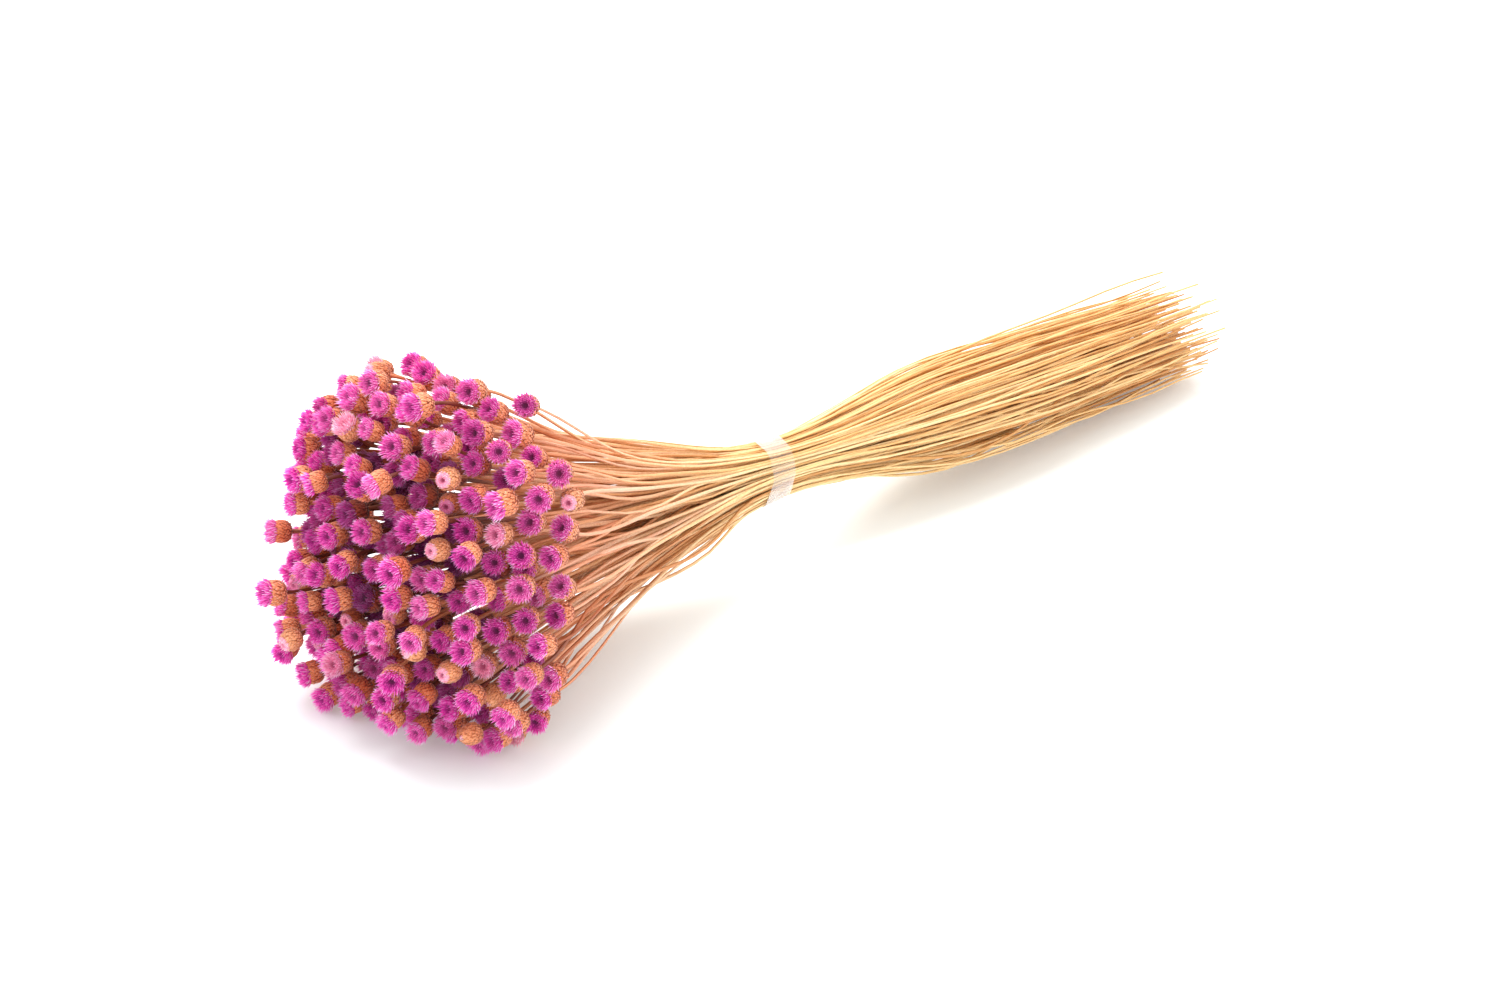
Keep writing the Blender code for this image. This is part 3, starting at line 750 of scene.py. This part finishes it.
@dataclass(frozen=True)
class StemForm:
    """One dry stem: a slim round stalk, a little wavy, that thickens where it meets its head."""

    sides: int = 6
    radii: tuple = (0.52 * MM, 0.72 * MM)
    taper: tuple = (0.70, 1.14)
    squeeze: float = 0.85
    squeeze_reach: float = 22.5 * MM
    neck_radius: float = 0.95 * MM
    neck_length: float = 12.0 * MM
    neck_swell: float = 3.0 * MM
    waist_spread: float = 1.42
    stations: tuple = (8, 8, 9, 6, 4)
    wave: float = 1.0 * MM
    wave_heights: tuple = (0.3, 1.3)
    wave_lengths: tuple = (80 * MM, 180 * MM)
    stray_share: float = 0.28
    stray_wave: float = 4.2 * MM
    tail_calm: float = 0.7
    top_calm: float = 0.85
    still_length: float = 45 * MM
    still_shares: tuple = (0.2, 0.15)
    splay_from: float = 100 * MM
    splays: tuple = (2.0 * MM, 7.0 * MM)
    tip_slant: float = 0.4
    colour_drift: float = 0.04
    # The two powers of the beta draw that gives a stem its tone: most are light
    tone_spread: tuple = (2.2, 1.6)

    def centrelines(self, flowers: Flowers, layout: BunchLayout, rng: Generator) -> ndarray:
        """Draws every stem's smooth line through its control points.

        Args:
            flowers: The settled bunch.
            layout: The rule that settled it.
            rng: The source of the random waves.

        Returns:
            Points of each stem from its cut end to its head, as an array of stem, station and axis.
        """
        paths = flowers.paths.copy()
        knots = paths[:, TIE].reshape(-1, layout.stems_per_sprig, 3).mean(1).repeat(layout.stems_per_sprig, 0)
        paths[:, TIE] = knots + (paths[:, TIE] - knots) * self.waist_spread
        axes = flowers.turns[:, :, 2]
        last_run = unit(paths[:, HEAD_BASE] - paths[:, FAN_BEND])
        neck = paths[:, HEAD_BASE] - unit(axes + last_run) * self.neck_length
        points = np.concatenate([paths[:, :HEAD_BASE], neck[:, None], paths[:, HEAD_BASE:]], 1)
        runs = unit(points[:, 1:] - points[:, :-1])
        tangents = unit(np.concatenate([runs[:, :1], runs[:, :-1] + runs[:, 1:], axes[:, None]], 1))
        lines = [points[:, :1]]
        for run, count in enumerate(self.stations):
            start, end = points[:, run], points[:, run + 1]
            length = np.linalg.norm(end - start, axis=1, keepdims=True)
            for share in np.linspace(0, 1, count + 1)[1:]:
                here = smooth_step(share)
                leave = (share ** 3 - 2 * share ** 2 + share) * length * tangents[:, run]
                arrive = (share ** 3 - share ** 2) * length * tangents[:, run + 1]
                lines.append((start * (1 - here) + end * here + leave + arrive)[:, None])
        return self.wave_lines(np.concatenate(lines, 1), points, rng)

    def wave_lines(self, lines: ndarray, points: ndarray, rng: Generator) -> ndarray:
        """Bends the lines by slow waves that die out at the tie and the heads, and splays the cut ends.

        Args:
            lines: The smooth lines.
            points: Their control points.
            rng: The source of the waves.

        Returns:
            The bent lines.
        """
        count = len(lines)
        stray = rng.random(count) < self.stray_share
        rise = points[:, FAN_BEND, 2] - points[:, TIE, 2]
        stray_wave = self.stray_wave * (1 - self.top_calm * smooth_step(rise / rise.max()))
        height = np.where(stray, stray_wave, self.wave) * rng.uniform(*self.wave_heights, count)
        length = rng.uniform(*self.wave_lengths, (count, 2))
        phase = rng.uniform(0, FULL_TURN, (count, 2))
        from_tie = lines[..., 0] - points[:, TIE, :1]
        to_head = lines[..., 0] - points[:, -1, :1]
        window = smooth_step(np.abs(from_tie) / self.still_length - self.still_shares[0])
        window = window * smooth_step(to_head / self.still_length - self.still_shares[1])
        window = window * np.where(from_tie > 0, self.tail_calm, 1.0)
        for axis in range(2):
            turn = lines[..., 0] * FULL_TURN / length[:, axis, None] + phase[:, axis, None]
            lines[..., axis + 1] += height[:, None] * window * np.sin(turn)
        splay = smooth_step((from_tie - self.splay_from) / (from_tie.max() - self.splay_from))
        splay = splay * np.where(stray, self.splays[1], self.splays[0])[:, None]
        lines[..., 1:] += splay[..., None] * np.sin(phase)[:, None]
        lines[..., 2] = np.maximum(lines[..., 2], self.radii[1])
        return lines

    def grow(self, bm: BMesh, line: ndarray, tie_x: float, shade_along_cap: float, rng: Generator) -> None:
        """Grows one stem along its line.

        Args:
            bm: The sprig's mesh, with its layers.
            line: The stem's points from its cut end to its head.
            tie_x: Where the tape squeezes it.
            shade_along_cap: How far it runs through the material's colours, from 0 to 1; their dark end is
                painted shade.
            rng: The source of its colour, thickness and cut.
        """
        tone = rng.beta(*self.tone_spread)
        reach = run_lengths(line)
        tie = np.interp(-tie_x, -line[:, 0], reach)
        along = np.interp(reach, (0, tie, reach[-1]), (0, 0.5, 1)) + rng.normal(0, self.colour_drift)
        squeeze = 1 - (1 - self.squeeze) * np.exp(-((reach - tie) / self.squeeze_reach) ** 2)
        radius = rng.uniform(*self.radii) * squeeze * np.interp(reach / reach[-1], (0, 1), self.taper)
        swell = smooth_step(1 - (reach[-1] - reach) / self.neck_swell)
        radius = radius + (self.neck_radius - radius) * swell
        runs = unit(np.diff(line, axis=0))
        tangents = unit(np.concatenate([runs[:1], runs[:-1] + runs[1:], runs[-1:]]))
        side, rings = unit(np.cross(tangents[0], UP)), []
        angles = round_angles(self.sides)
        for point, tangent, size in zip(line, tangents, radius):
            side = unit(side - tangent * (side @ tangent))
            ring = np.outer(np.cos(angles), side) + np.outer(np.sin(angles), np.cross(tangent, side))
            rings.append(point + ring * size)
        rings[0] += np.outer(np.cos(angles) * rng.normal(0, self.tip_slant) * radius[0], tangents[0])
        # The cap keeps the painted shade at the colours' end off stems whose heads sit at the cluster's rim
        loft(bm, rings, {ALONG: np.minimum(along, shade_along_cap), TONE: np.full(len(line), tone)})


def pointed_blade(name: str, belly_at: float) -> Mesh:
    """Builds a blade a unit long that is pointed at both ends, which scales and florets are placed from.

    Args:
        name: The mesh's name.
        belly_at: How far along the blade is widest.

    Returns:
        The three-sided blade, with its keel toward +Y and its point toward +Z.
    """
    bm = new_shape(TIP)
    bmesh.ops.create_cone(bm, cap_ends=True, segments=3, radius1=1.0, radius2=0.0, depth=1 - belly_at)
    bmesh.ops.translate(bm, verts=bm.verts, vec=(0, 0, (1 + belly_at) / 2))
    foot = min(bm.faces, key=lambda face: face.calc_center_median().z)
    bmesh.ops.poke(bm, faces=[foot])["verts"][0].co.z = 0.0
    for vertex in bm.verts:
        vertex[bm.verts.layers.float[TIP]] = vertex.co.z
    return to_mesh(name, bm)


@dataclass(frozen=True)
class HeadForm:
    """One kind of flower head: a cup of overlapping scales and a tuft of pointed florets.

    The rows are in millimetres along the head's own axis, from the end of its stem: the height and radius of
    each ring of the cup's and the tuft's bodies, and for the florets how many stand in a row, the radius and
    height of their roots, and the radius and height of their points.
    """

    cup_rows: tuple
    tuft_rows: tuple
    floret_rows: tuple
    scale_top: float
    sides: int = 14
    # The core's tip values keep it at the dark end of the colours: painted shade between the scales
    cup_shades: tuple = (0.0, 0.12)
    # The tuft body runs to the dark end of the colours in its sunk middle: painted shade
    tuft_shades: tuple = (0.45, 0.0)
    # A real head has more scales, half as wide, and several hundred florets that are 0.2 to 0.3 mm wide. They
    # are too fine to show and too many to build, so both are drawn coarser and fewer.
    scale_count: int = 190
    scale_foot: float = 0.2 * MM
    scale_widths: tuple = (1.2 * MM, 1.35 * MM, (0.9, 1.1))
    scale_lengths: tuple = (1.9 * MM, 2.8 * MM, (0.88, 1.12))
    scale_thickness: float = 0.38 * MM
    scale_tilt: float = math.radians(9)
    scale_tilts: tuple = (0.5, 1.6)
    scale_scatter: float = 0.05
    scale_sink: float = 0.05 * MM
    scale_shines: tuple = (0.8, 1.0)
    floret_width: float = 0.66 * MM
    floret_widths: tuple = (0.75, 1.15)
    floret_flatness: float = 0.8
    floret_lengths: tuple = (0.74, 1.08)
    floret_shines: tuple = (0.5, 1.05)
    floret_scatter: float = 0.3
    floret_lean: float = 0.06
    unevenness: float = 0.30 * MM
    # How much darker the inner rows' points are: painted shade in the tuft's hollow
    inner_shade: float = 0.50

    def turned(self, bm: BMesh, rows: ndarray, shades: tuple) -> None:
        """Turns a closed body.

        Args:
            bm: The mesh under construction.
            rows: The height and radius of each ring, in metres.
            shades: The tip value of the first and the last ring.
        """
        angles = round_angles(self.sides)
        rings = [
            np.stack([radius * np.cos(angles), radius * np.sin(angles), np.full(self.sides, height)], 1)
            for height, radius in rows
        ]
        loft(bm, rings, {TIP: np.linspace(*shades, len(rows))})

    def place(self, bm: BMesh, blade: Mesh, start: ndarray, along: ndarray,
              outward: ndarray, size: tuple[float, float, float], shine: float) -> None:
        """Places one blade.

        Args:
            bm: The mesh under construction.
            blade: The unit blade.
            start: Where its root is.
            along: The way that it points.
            outward: The way that its keel faces.
            size: Its width, thickness and length.
            shine: The tip value at its point.
        """
        along = unit(along)
        outward = unit(outward - along * (outward @ along))
        width, thickness, length = size
        across = np.cross(outward, along) * width / BLADE_WIDTH
        turn = np.stack([across, outward * thickness / BLADE_DEPTH, along * length], 1)
        matrix = Matrix(turn.tolist()).to_4x4()
        matrix.translation = Vector(start)
        for vertex in copy_in(bm, blade, matrix):
            vertex[bm.verts.layers.float[TIP]] *= shine

    def cup(self, name: str, blade: Mesh, rng: Generator) -> Mesh:
        """Builds the cup: a core with a spiral of scales laid over it from the foot to the rim.

        Args:
            name: The mesh's name.
            blade: The unit scale.
            rng: The source of the scales' differences.

        Returns:
            The cup.
        """
        bm = new_shape(TIP)
        rows = np.array(self.cup_rows) * MM
        self.turned(bm, rows, self.cup_shades)
        reach = run_lengths(rows)
        foot, rim = (np.interp(height, rows[:, 0], reach) for height in (self.scale_foot, self.scale_top))
        steps = np.linspace(foot, rim, self.scale_count)
        girth = np.cumsum(np.interp(steps, reach, rows[:, 1]))
        spin = rng.uniform(0, FULL_TURN)
        for index in range(self.scale_count):
            share = (index + 0.5) / self.scale_count
            here = np.interp(share, girth / girth[-1], steps)
            (height, radius), (ahead_height, ahead_radius) = (
                [np.interp(spot, reach, column) for column in rows.T] for spot in (here, here + MM)
            )
            angle = spin + index * GOLDEN_ANGLE + rng.normal(0, self.scale_scatter)
            out = out_at(angle)
            along = unit(out * (ahead_radius - radius) + UP * (ahead_height - height))
            normal = unit(out * along[2] - UP * (along @ out))
            tilt = self.scale_tilt * rng.uniform(*self.scale_tilts)
            width, length = (
                (low + (high - low) * share) * rng.uniform(*spread)
                for low, high, spread in (self.scale_widths, self.scale_lengths)
            )
            start = out * radius + UP * height - normal * self.scale_sink
            self.place(bm, blade, start, along * math.cos(tilt) + normal * math.sin(tilt), normal,
                       (width, self.scale_thickness, length), rng.uniform(*self.scale_shines))
        return to_mesh(name, bm)

    def tuft(self, name: str, blade: Mesh, rng: Generator) -> Mesh:
        """Builds the tuft: a soft ring with a sunk middle that rows of florets stand out of.

        Args:
            name: The mesh's name.
            blade: The unit floret.
            rng: The source of the florets' differences.

        Returns:
            The tuft.
        """
        bm = new_shape(TIP)
        self.turned(bm, np.array(self.tuft_rows) * MM, self.tuft_shades)
        for row, (count, *lengths) in enumerate(self.floret_rows):
            root_radius, root_height, tip_radius, tip_height = (length * MM for length in lengths)
            # Inner rows get less pale points: painted shade in the tuft's hollow
            pale = 1 - self.inner_shade * row / len(self.floret_rows)
            spin = rng.uniform(0, FULL_TURN)
            for index in range(count):
                scatter = rng.uniform(-self.floret_scatter, self.floret_scatter)
                angle = spin + (index + scatter) * FULL_TURN / count
                out, tip_out = out_at(angle), out_at(angle + rng.normal(0, self.floret_lean))
                reach = tip_out * (tip_radius + rng.normal(0, self.unevenness / 2)) - out * root_radius
                reach[2] = tip_height - root_height + rng.normal(0, self.unevenness)
                reach = reach * rng.uniform(*self.floret_lengths)
                width = self.floret_width * rng.uniform(*self.floret_widths)
                size = (width, width * self.floret_flatness, np.linalg.norm(reach))
                self.place(bm, blade, out * root_radius + UP * root_height, reach, out, size,
                           pale * rng.uniform(*self.floret_shines))
        return to_mesh(name, bm)


OPEN_FORM = HeadForm(
    cup_rows=((-0.2, 0.7), (0.2, 2.0), (0.9, 3.4), (2.1, 4.35), (3.8, 4.8), (5.6, 4.8), (7.2, 4.4),
              (7.9, 3.7), (7.0, 1.6)),
    tuft_rows=((7.0, 3.7), (8.4, 4.0), (9.6, 3.8), (10.1, 3.2), (9.6, 2.3), (8.6, 1.6), (7.6, 0.8)),
    floret_rows=((32, 3.8, 6.8, 6.4, 10.2), (32, 3.7, 7.4, 5.9, 11.5), (30, 3.5, 7.8, 5.2, 12.3),
                 (26, 3.1, 8.2, 4.3, 12.6), (22, 2.6, 8.2, 3.4, 12.3), (18, 2.1, 8.0, 2.5, 11.6),
                 (12, 1.6, 7.8, 1.7, 10.4)),
    scale_top=6.9 * MM,
)

PARTED_FORM = HeadForm(
    cup_rows=((-0.2, 0.7), (0.2, 2.0), (0.9, 3.4), (2.1, 4.3), (3.8, 4.78), (5.6, 4.65), (7.4, 4.0),
              (8.4, 3.1), (7.6, 1.2)),
    tuft_rows=((7.4, 3.2), (8.8, 3.2), (9.6, 2.6), (9.7, 1.8), (9.2, 1.1), (8.2, 0.6)),
    floret_rows=((34, 3.2, 7.8, 3.4, 9.9), (30, 2.8, 8.2, 2.7, 10.5), (22, 2.2, 8.4, 1.9, 10.6),
                 (14, 1.6, 8.4, 1.1, 10.2)),
    scale_top=7.4 * MM,
    floret_width=0.62 * MM,
)

BUD_FORM = HeadForm(
    cup_rows=((-0.2, 0.7), (0.2, 2.0), (0.9, 3.4), (2.1, 4.2), (3.8, 4.62), (5.6, 4.45), (7.4, 3.7),
              (8.9, 2.6), (10.0, 1.2)),
    tuft_rows=((8.6, 1.6), (9.8, 1.2), (10.4, 0.5)),
    floret_rows=((9, 1.2, 9.2, 0.9, 10.8), (5, 0.5, 9.4, 0.4, 11.1)),
    scale_top=8.9 * MM,
    scale_count=210,
)


@dataclass(frozen=True)
class HeadStock:
    """A few heads of each kind, which the bunch takes copies of."""

    forms: tuple = (
        (HeadKind.OPEN, OPEN_FORM, 7), (HeadKind.PARTED, PARTED_FORM, 2), (HeadKind.BUD, BUD_FORM, 2))
    scale_belly: float = 0.38
    floret_belly: float = 0.42

    def meshes(self, rng: Generator) -> dict[HeadKind, list[tuple[Mesh, Mesh]]]:
        """Builds the cup and the tuft of each head in stock.

        Args:
            rng: The source of the heads' differences.

        Returns:
            The cups and tufts by kind.
        """
        scale, floret = pointed_blade("scale", self.scale_belly), pointed_blade("floret", self.floret_belly)
        stock = {}
        for kind, form, count in self.forms:
            names = [f"{kind.value}_{index}" for index in range(count)]
            stock[kind] = [
                (form.cup(f"cup_{name}", scale, rng), form.tuft(f"tuft_{name}", floret, rng))
                for name in names
            ]
        return stock


@dataclass(frozen=True)
class Head:
    """One flower head: its cup and tuft with their tones, which carry painted shade, where it sits and how
    far its dye has faded.
    """

    meshes: tuple
    tones: ndarray
    matrix: Matrix
    fade: float

    def put(self, bm: BMesh, part: int) -> None:
        """Adds the head's cup or tuft to a sprig's mesh.

        Args:
            bm: The sprig's mesh, with its layers.
            part: 0 for the cup, 1 for the tuft.
        """
        layers = bm.verts.layers.float
        for vertex in copy_in(bm, self.meshes[part], self.matrix):
            vertex.co.z = max(vertex.co.z, 0.0)
            vertex[layers[TONE]], vertex[layers[FADE]] = self.tones[part], self.fade


@dataclass(frozen=True)
class Bunch:
    """All sprigs of the bunch: the stems, cups and tufts that stand for each sprig's solid."""

    layout: BunchLayout
    stem_form: StemForm
    stock: HeadStock
    bloom_sizes: tuple = (0.92, 0.97, 1.0)
    bloom_stretch: tuple = (0.95, 1.05)
    parted_share: float = 0.6
    pale_share: float = 0.03
    pale_fades: tuple = (0.88, 1.0)
    # The two powers of the beta draw that fades a dyed head: most keep their dye
    dyed_fades: tuple = (1.2, 9)
    tone_drop: float = 0.62
    tone_power: float = 1.5
    # How far along the colours the rim heads' stems run, short of the painted shade at the end
    rim_unshaded_along: float = 0.88
    rim_from: float = 0.3
    # Painted shade: heads deeper in the cluster than these depths get darker, down to the deepest shade
    shaded_depths: tuple = (4 * MM, 17 * MM)
    deepest_shade: float = 0.88

    def heads(self, flowers: Flowers, rng: Generator) -> list[Head]:
        """Picks a copy, a place and a colour for every head, with painted shade on the heads that sit deep in
        the cluster.

        Args:
            flowers: The settled bunch.
            rng: The source of the choices.

        Returns:
            The heads in the stems' order.
        """
        stock, heads = self.stock.meshes(rng), []
        shallow, deep = self.shaded_depths
        # Painted shade: the deeper a head sits in the cluster, the darker its tones
        lights = 1 - self.deepest_shade * smooth_step((flowers.depths - shallow) / (deep - shallow))
        for index, (path, turn, size) in enumerate(zip(flowers.paths, flowers.turns, flowers.sizes)):
            kind = HeadKind.OPEN
            if flowers.is_bud[index]:
                kind = HeadKind.PARTED if rng.random() < self.parted_share else HeadKind.BUD
            meshes = stock[kind][rng.integers(len(stock[kind]))]
            size = size * rng.triangular(*self.bloom_sizes)
            stretch = np.diag([*(rng.uniform(*self.bloom_stretch, 2) * size), size])
            matrix = Matrix((turn @ stretch).tolist()).to_4x4()
            matrix.translation = Vector(path[HEAD_BASE])
            is_pale = rng.random() < self.pale_share or kind is not HeadKind.OPEN
            fade = rng.uniform(*self.pale_fades) if is_pale else rng.beta(*self.dyed_fades)
            tones = lights[index] * (1 - self.tone_drop * rng.uniform(0, 1, 2) ** self.tone_power)
            heads.append(Head(meshes, tones, matrix, fade))
        return heads

    def build(self, flowers: Flowers, lines: ndarray, finishes: dict[str, Material],
              rng: Generator) -> None:
        """Builds every sprig.

        Args:
            flowers: The settled bunch.
            lines: The stems' centrelines.
            finishes: Materials by slot.
            rng: The source of every choice.
        """
        heads = self.heads(flowers, rng)
        # Stems whose heads sit toward the cluster's rim stop short of the painted shade at the end of the
        # colours
        head_x = flowers.paths[:, HEAD_BASE, 0]
        toward_rim = (head_x - head_x.min()) / (head_x.max() - head_x.min())
        toward_rim = smooth_step((toward_rim - self.rim_from) / (1 - self.rim_from))
        shade_along_cap = 1 - (1 - self.rim_unshaded_along) * toward_rim
        for sprig in range(self.layout.sprig_count):
            node = f"sprig_{sprig + 1:02d}"
            first = sprig * self.layout.stems_per_sprig
            members = range(first, first + self.layout.stems_per_sprig)
            bm = new_shape(ALONG, TONE)
            for index in members:
                self.stem_form.grow(bm, lines[index], flowers.shift[0], shade_along_cap[index], rng)
            hand_over(f"{node}_stems", bm, "dried_straw", node, finishes)
            for part, (word, slot) in enumerate((("cups", "papery_bract"), ("tufts", "dyed_floret"))):
                bm = new_shape(TIP, TONE, FADE)
                for index in members:
                    heads[index].put(bm, part)
                hand_over(f"{node}_{word}", bm, slot, node, finishes)


@dataclass(frozen=True)
class ClearTape:
    """A strip of clear tape wound almost one and a half times round the waist."""

    width: float = 14.2 * MM
    slant_y: float = 0.22
    slant_z: float = 0.17
    turns: float = 1.42
    start: float = math.radians(150)
    around: int = 170
    across: int = 8
    ease: float = 0.25 * MM
    lap: float = 0.14 * MM
    lap_from: float = 0.9
    lap_run: float = 0.125
    film: float = 0.06 * MM
    hull_steps: int = 72
    least_facing: float = 0.2
    # Each wave has how often it comes in a turn, how far it lags from row to row, and its height.
    ripples: tuple = ((23, 1.0, 0.05 * MM), (37, -0.7, 0.05 * MM))
    wanders: tuple = ((3, 0.2, 0.25 * MM), (7, 0.0, 0.15 * MM))
    edge_on_sheen_power: float = 1.6
    sorting_slant: tuple = (1.0, 0.37, 0.61)

    def hull(self, lines: ndarray, centre: ndarray, offset: float, radius: float) -> ndarray:
        """Measures how far the tight skin round the stems is from the middle.

        Args:
            lines: The stems' centrelines.
            centre: The middle of the waist.
            offset: The section's place across the tape.
            radius: A stem's radius.

        Returns:
            The skin's distance at evenly spaced bearings, the first repeated at the end.
        """
        spots = []
        for line in lines:
            line = line[np.argsort(line[:, 0])]
            middle = [np.interp(centre[0], line[:, 0], line[:, axis]) - centre[axis] for axis in (1, 2)]
            x = centre[0] + offset + self.slant_y * middle[0] + self.slant_z * middle[1]
            spots.append([np.interp(x, line[:, 0], line[:, axis]) - centre[axis] for axis in (1, 2)])
        bearings = round_angles(self.hull_steps)
        rays = np.stack([np.cos(bearings), np.sin(bearings)], 1)
        support = (np.array(spots) @ rays.T).max(0) + radius
        facing = np.cos(bearings[:, None] - bearings[None])
        least = self.least_facing
        skin = np.where(facing > least, support[None] / np.maximum(facing, least), np.inf).min(1)
        return np.append(skin, skin[0])

    def wave(self, waves: tuple, angle: float, row: int) -> float:
        """Adds up waves at one point of the tape."""
        return sum(height * math.sin(count * angle + lag * row) for count, lag, height in waves)

    def build(self, lines: ndarray, centre: ndarray, radius: float, finishes: dict[str, Material]) -> None:
        """Winds the strip round the stems.

        Args:
            lines: The stems' centrelines.
            centre: The middle of the waist.
            radius: A stem's radius.
            finishes: Materials by slot.
        """
        offsets = np.linspace(-0.5, 0.5, self.across + 1) * self.width
        skins = np.array([self.hull(lines, centre, offset, radius) for offset in offsets])
        bearings = np.linspace(0, FULL_TURN, self.hull_steps + 1)
        bm = new_shape(TONE)
        bmesh.ops.create_grid(bm, x_segments=self.around, y_segments=self.across, size=0.5)
        for vertex in bm.verts:
            wound, row = (vertex.co.x + 0.5) * self.turns, round((vertex.co.y + 0.5) * self.across)
            angle = self.start + wound * FULL_TURN
            distance = np.interp(angle % FULL_TURN, bearings, skins[row]) + self.ease
            distance += self.lap * float(smooth_step((wound - self.lap_from) / self.lap_run))
            distance += self.wave(self.ripples, angle, row)
            y, z = distance * math.cos(angle), distance * math.sin(angle)
            x = offsets[row] + self.wave(self.wanders, angle, row) + self.slant_y * y + self.slant_z * z
            vertex.co = Vector(centre) + Vector((x, y, z))
            # Painted sheen: the film gets milkier the further its bearing turns from the camera's side
            vertex[bm.verts.layers.float[TONE]] = abs(math.sin(angle - self.start)) ** self.edge_on_sheen_power
        bmesh.ops.recalc_face_normals(bm, faces=bm.faces)
        bmesh.ops.solidify(bm, geom=bm.faces[:], thickness=self.film)
        # Solidify lists the rim's faces in another order on each run, so all are sorted along one slant
        bm.faces.sort(key=lambda face: face.calc_center_median().dot(Vector(self.sorting_slant)))
        hand_over("clear_tape_film", bm, "clear_tape", "clear_tape", finishes)


@dataclass(frozen=True)
class Studio:
    """A white table under soft light, seen as in the photograph."""

    azimuth: float = math.radians(-45)
    elevation: float = math.radians(25.5)
    distance: float = 1.2295
    lens: float = 70.0
    sensor: float = 36.0
    target: tuple = (-0.0088, 0.0, 0.0309)
    floor_size: float = 6.0
    floor_colour: str = "E6ECEC"
    floor_glow: float = 0.18
    sky: float = 1.3
    key_power: float = 30.0
    key_size: float = 1.3
    key_place: tuple = (0.10, 0.55, 1.35)

    def camera(self, shift: ndarray) -> None:
        """Places the camera.

        Args:
            shift: How far the bunch was moved to stand over the origin.
        """
        back = Vector((
            math.sin(self.azimuth) * math.cos(self.elevation),
            -math.cos(self.azimuth) * math.cos(self.elevation),
            math.sin(self.elevation),
        ))
        camera = add_object("camera", bpy.data.cameras.new("camera"))
        camera.data.lens, camera.data.sensor_width = self.lens, self.sensor
        camera.location = Vector(self.target) + Vector(shift) + back * self.distance
        camera.rotation_euler = back.to_track_quat("Z", "Y").to_euler()
        bpy.context.scene.camera = camera

    def table(self) -> None:
        """Lays the white table top."""
        material, _ = new_material("back_lit_white_sheet", {
            "Roughness": 0.7, "Base Color": linear(self.floor_colour),
            "Emission Color": linear("FFFFFF"), "Emission Strength": self.floor_glow})
        bm = bmesh.new()
        bmesh.ops.create_grid(bm, x_segments=1, y_segments=1, size=self.floor_size / 2)
        floor = add_object("table_top", to_mesh("table_top", bm))
        floor.data.materials.append(material)

    def light(self) -> None:
        """Hangs one large soft lamp in an even white surround."""
        world = bpy.data.worlds.new("white_surround")
        world.use_nodes = True
        surround = world.node_tree.nodes["Background"]
        surround.inputs["Color"].default_value = linear("FFFFFF")
        surround.inputs["Strength"].default_value = self.sky
        soft_box = add_object("soft_box", bpy.data.lights.new("soft_box", "AREA"))
        lamp = soft_box.data
        lamp.shape, lamp.size, lamp.energy = "SQUARE", self.key_size, self.key_power
        soft_box.location = Vector(self.key_place)
        soft_box.rotation_euler = Vector(self.key_place).to_track_quat("Z", "Y").to_euler()
        bpy.context.scene.world = world
        bpy.context.scene.view_settings.view_transform = "Standard"


def main() -> None:
    """Builds the pieces in order and frames them."""
    logging.basicConfig(level=logging.INFO, format="%(message)s")
    layout = BunchLayout()
    flowers = layout.flowers()
    rng = np.random.default_rng(layout.seed + 1)
    studio = Studio()
    studio.camera(flowers.shift)
    studio.table()
    studio.light()
    finishes = {
        "dried_straw": StrawFinish().material(),
        "papery_bract": BractFinish().material(),
        "dyed_floret": FloretFinish().material(),
        "clear_tape": TapeFinish().material(),
    }
    stem_form = StemForm()
    lines = stem_form.centrelines(flowers, layout, rng)
    Bunch(layout, stem_form, HeadStock()).build(flowers, lines, finishes, rng)
    centre = np.array([flowers.shift[0], flowers.shift[1], layout.waist[2]])
    ClearTape().build(lines, centre, stem_form.radii[1], finishes)


if __name__ == "__main__":
    main()
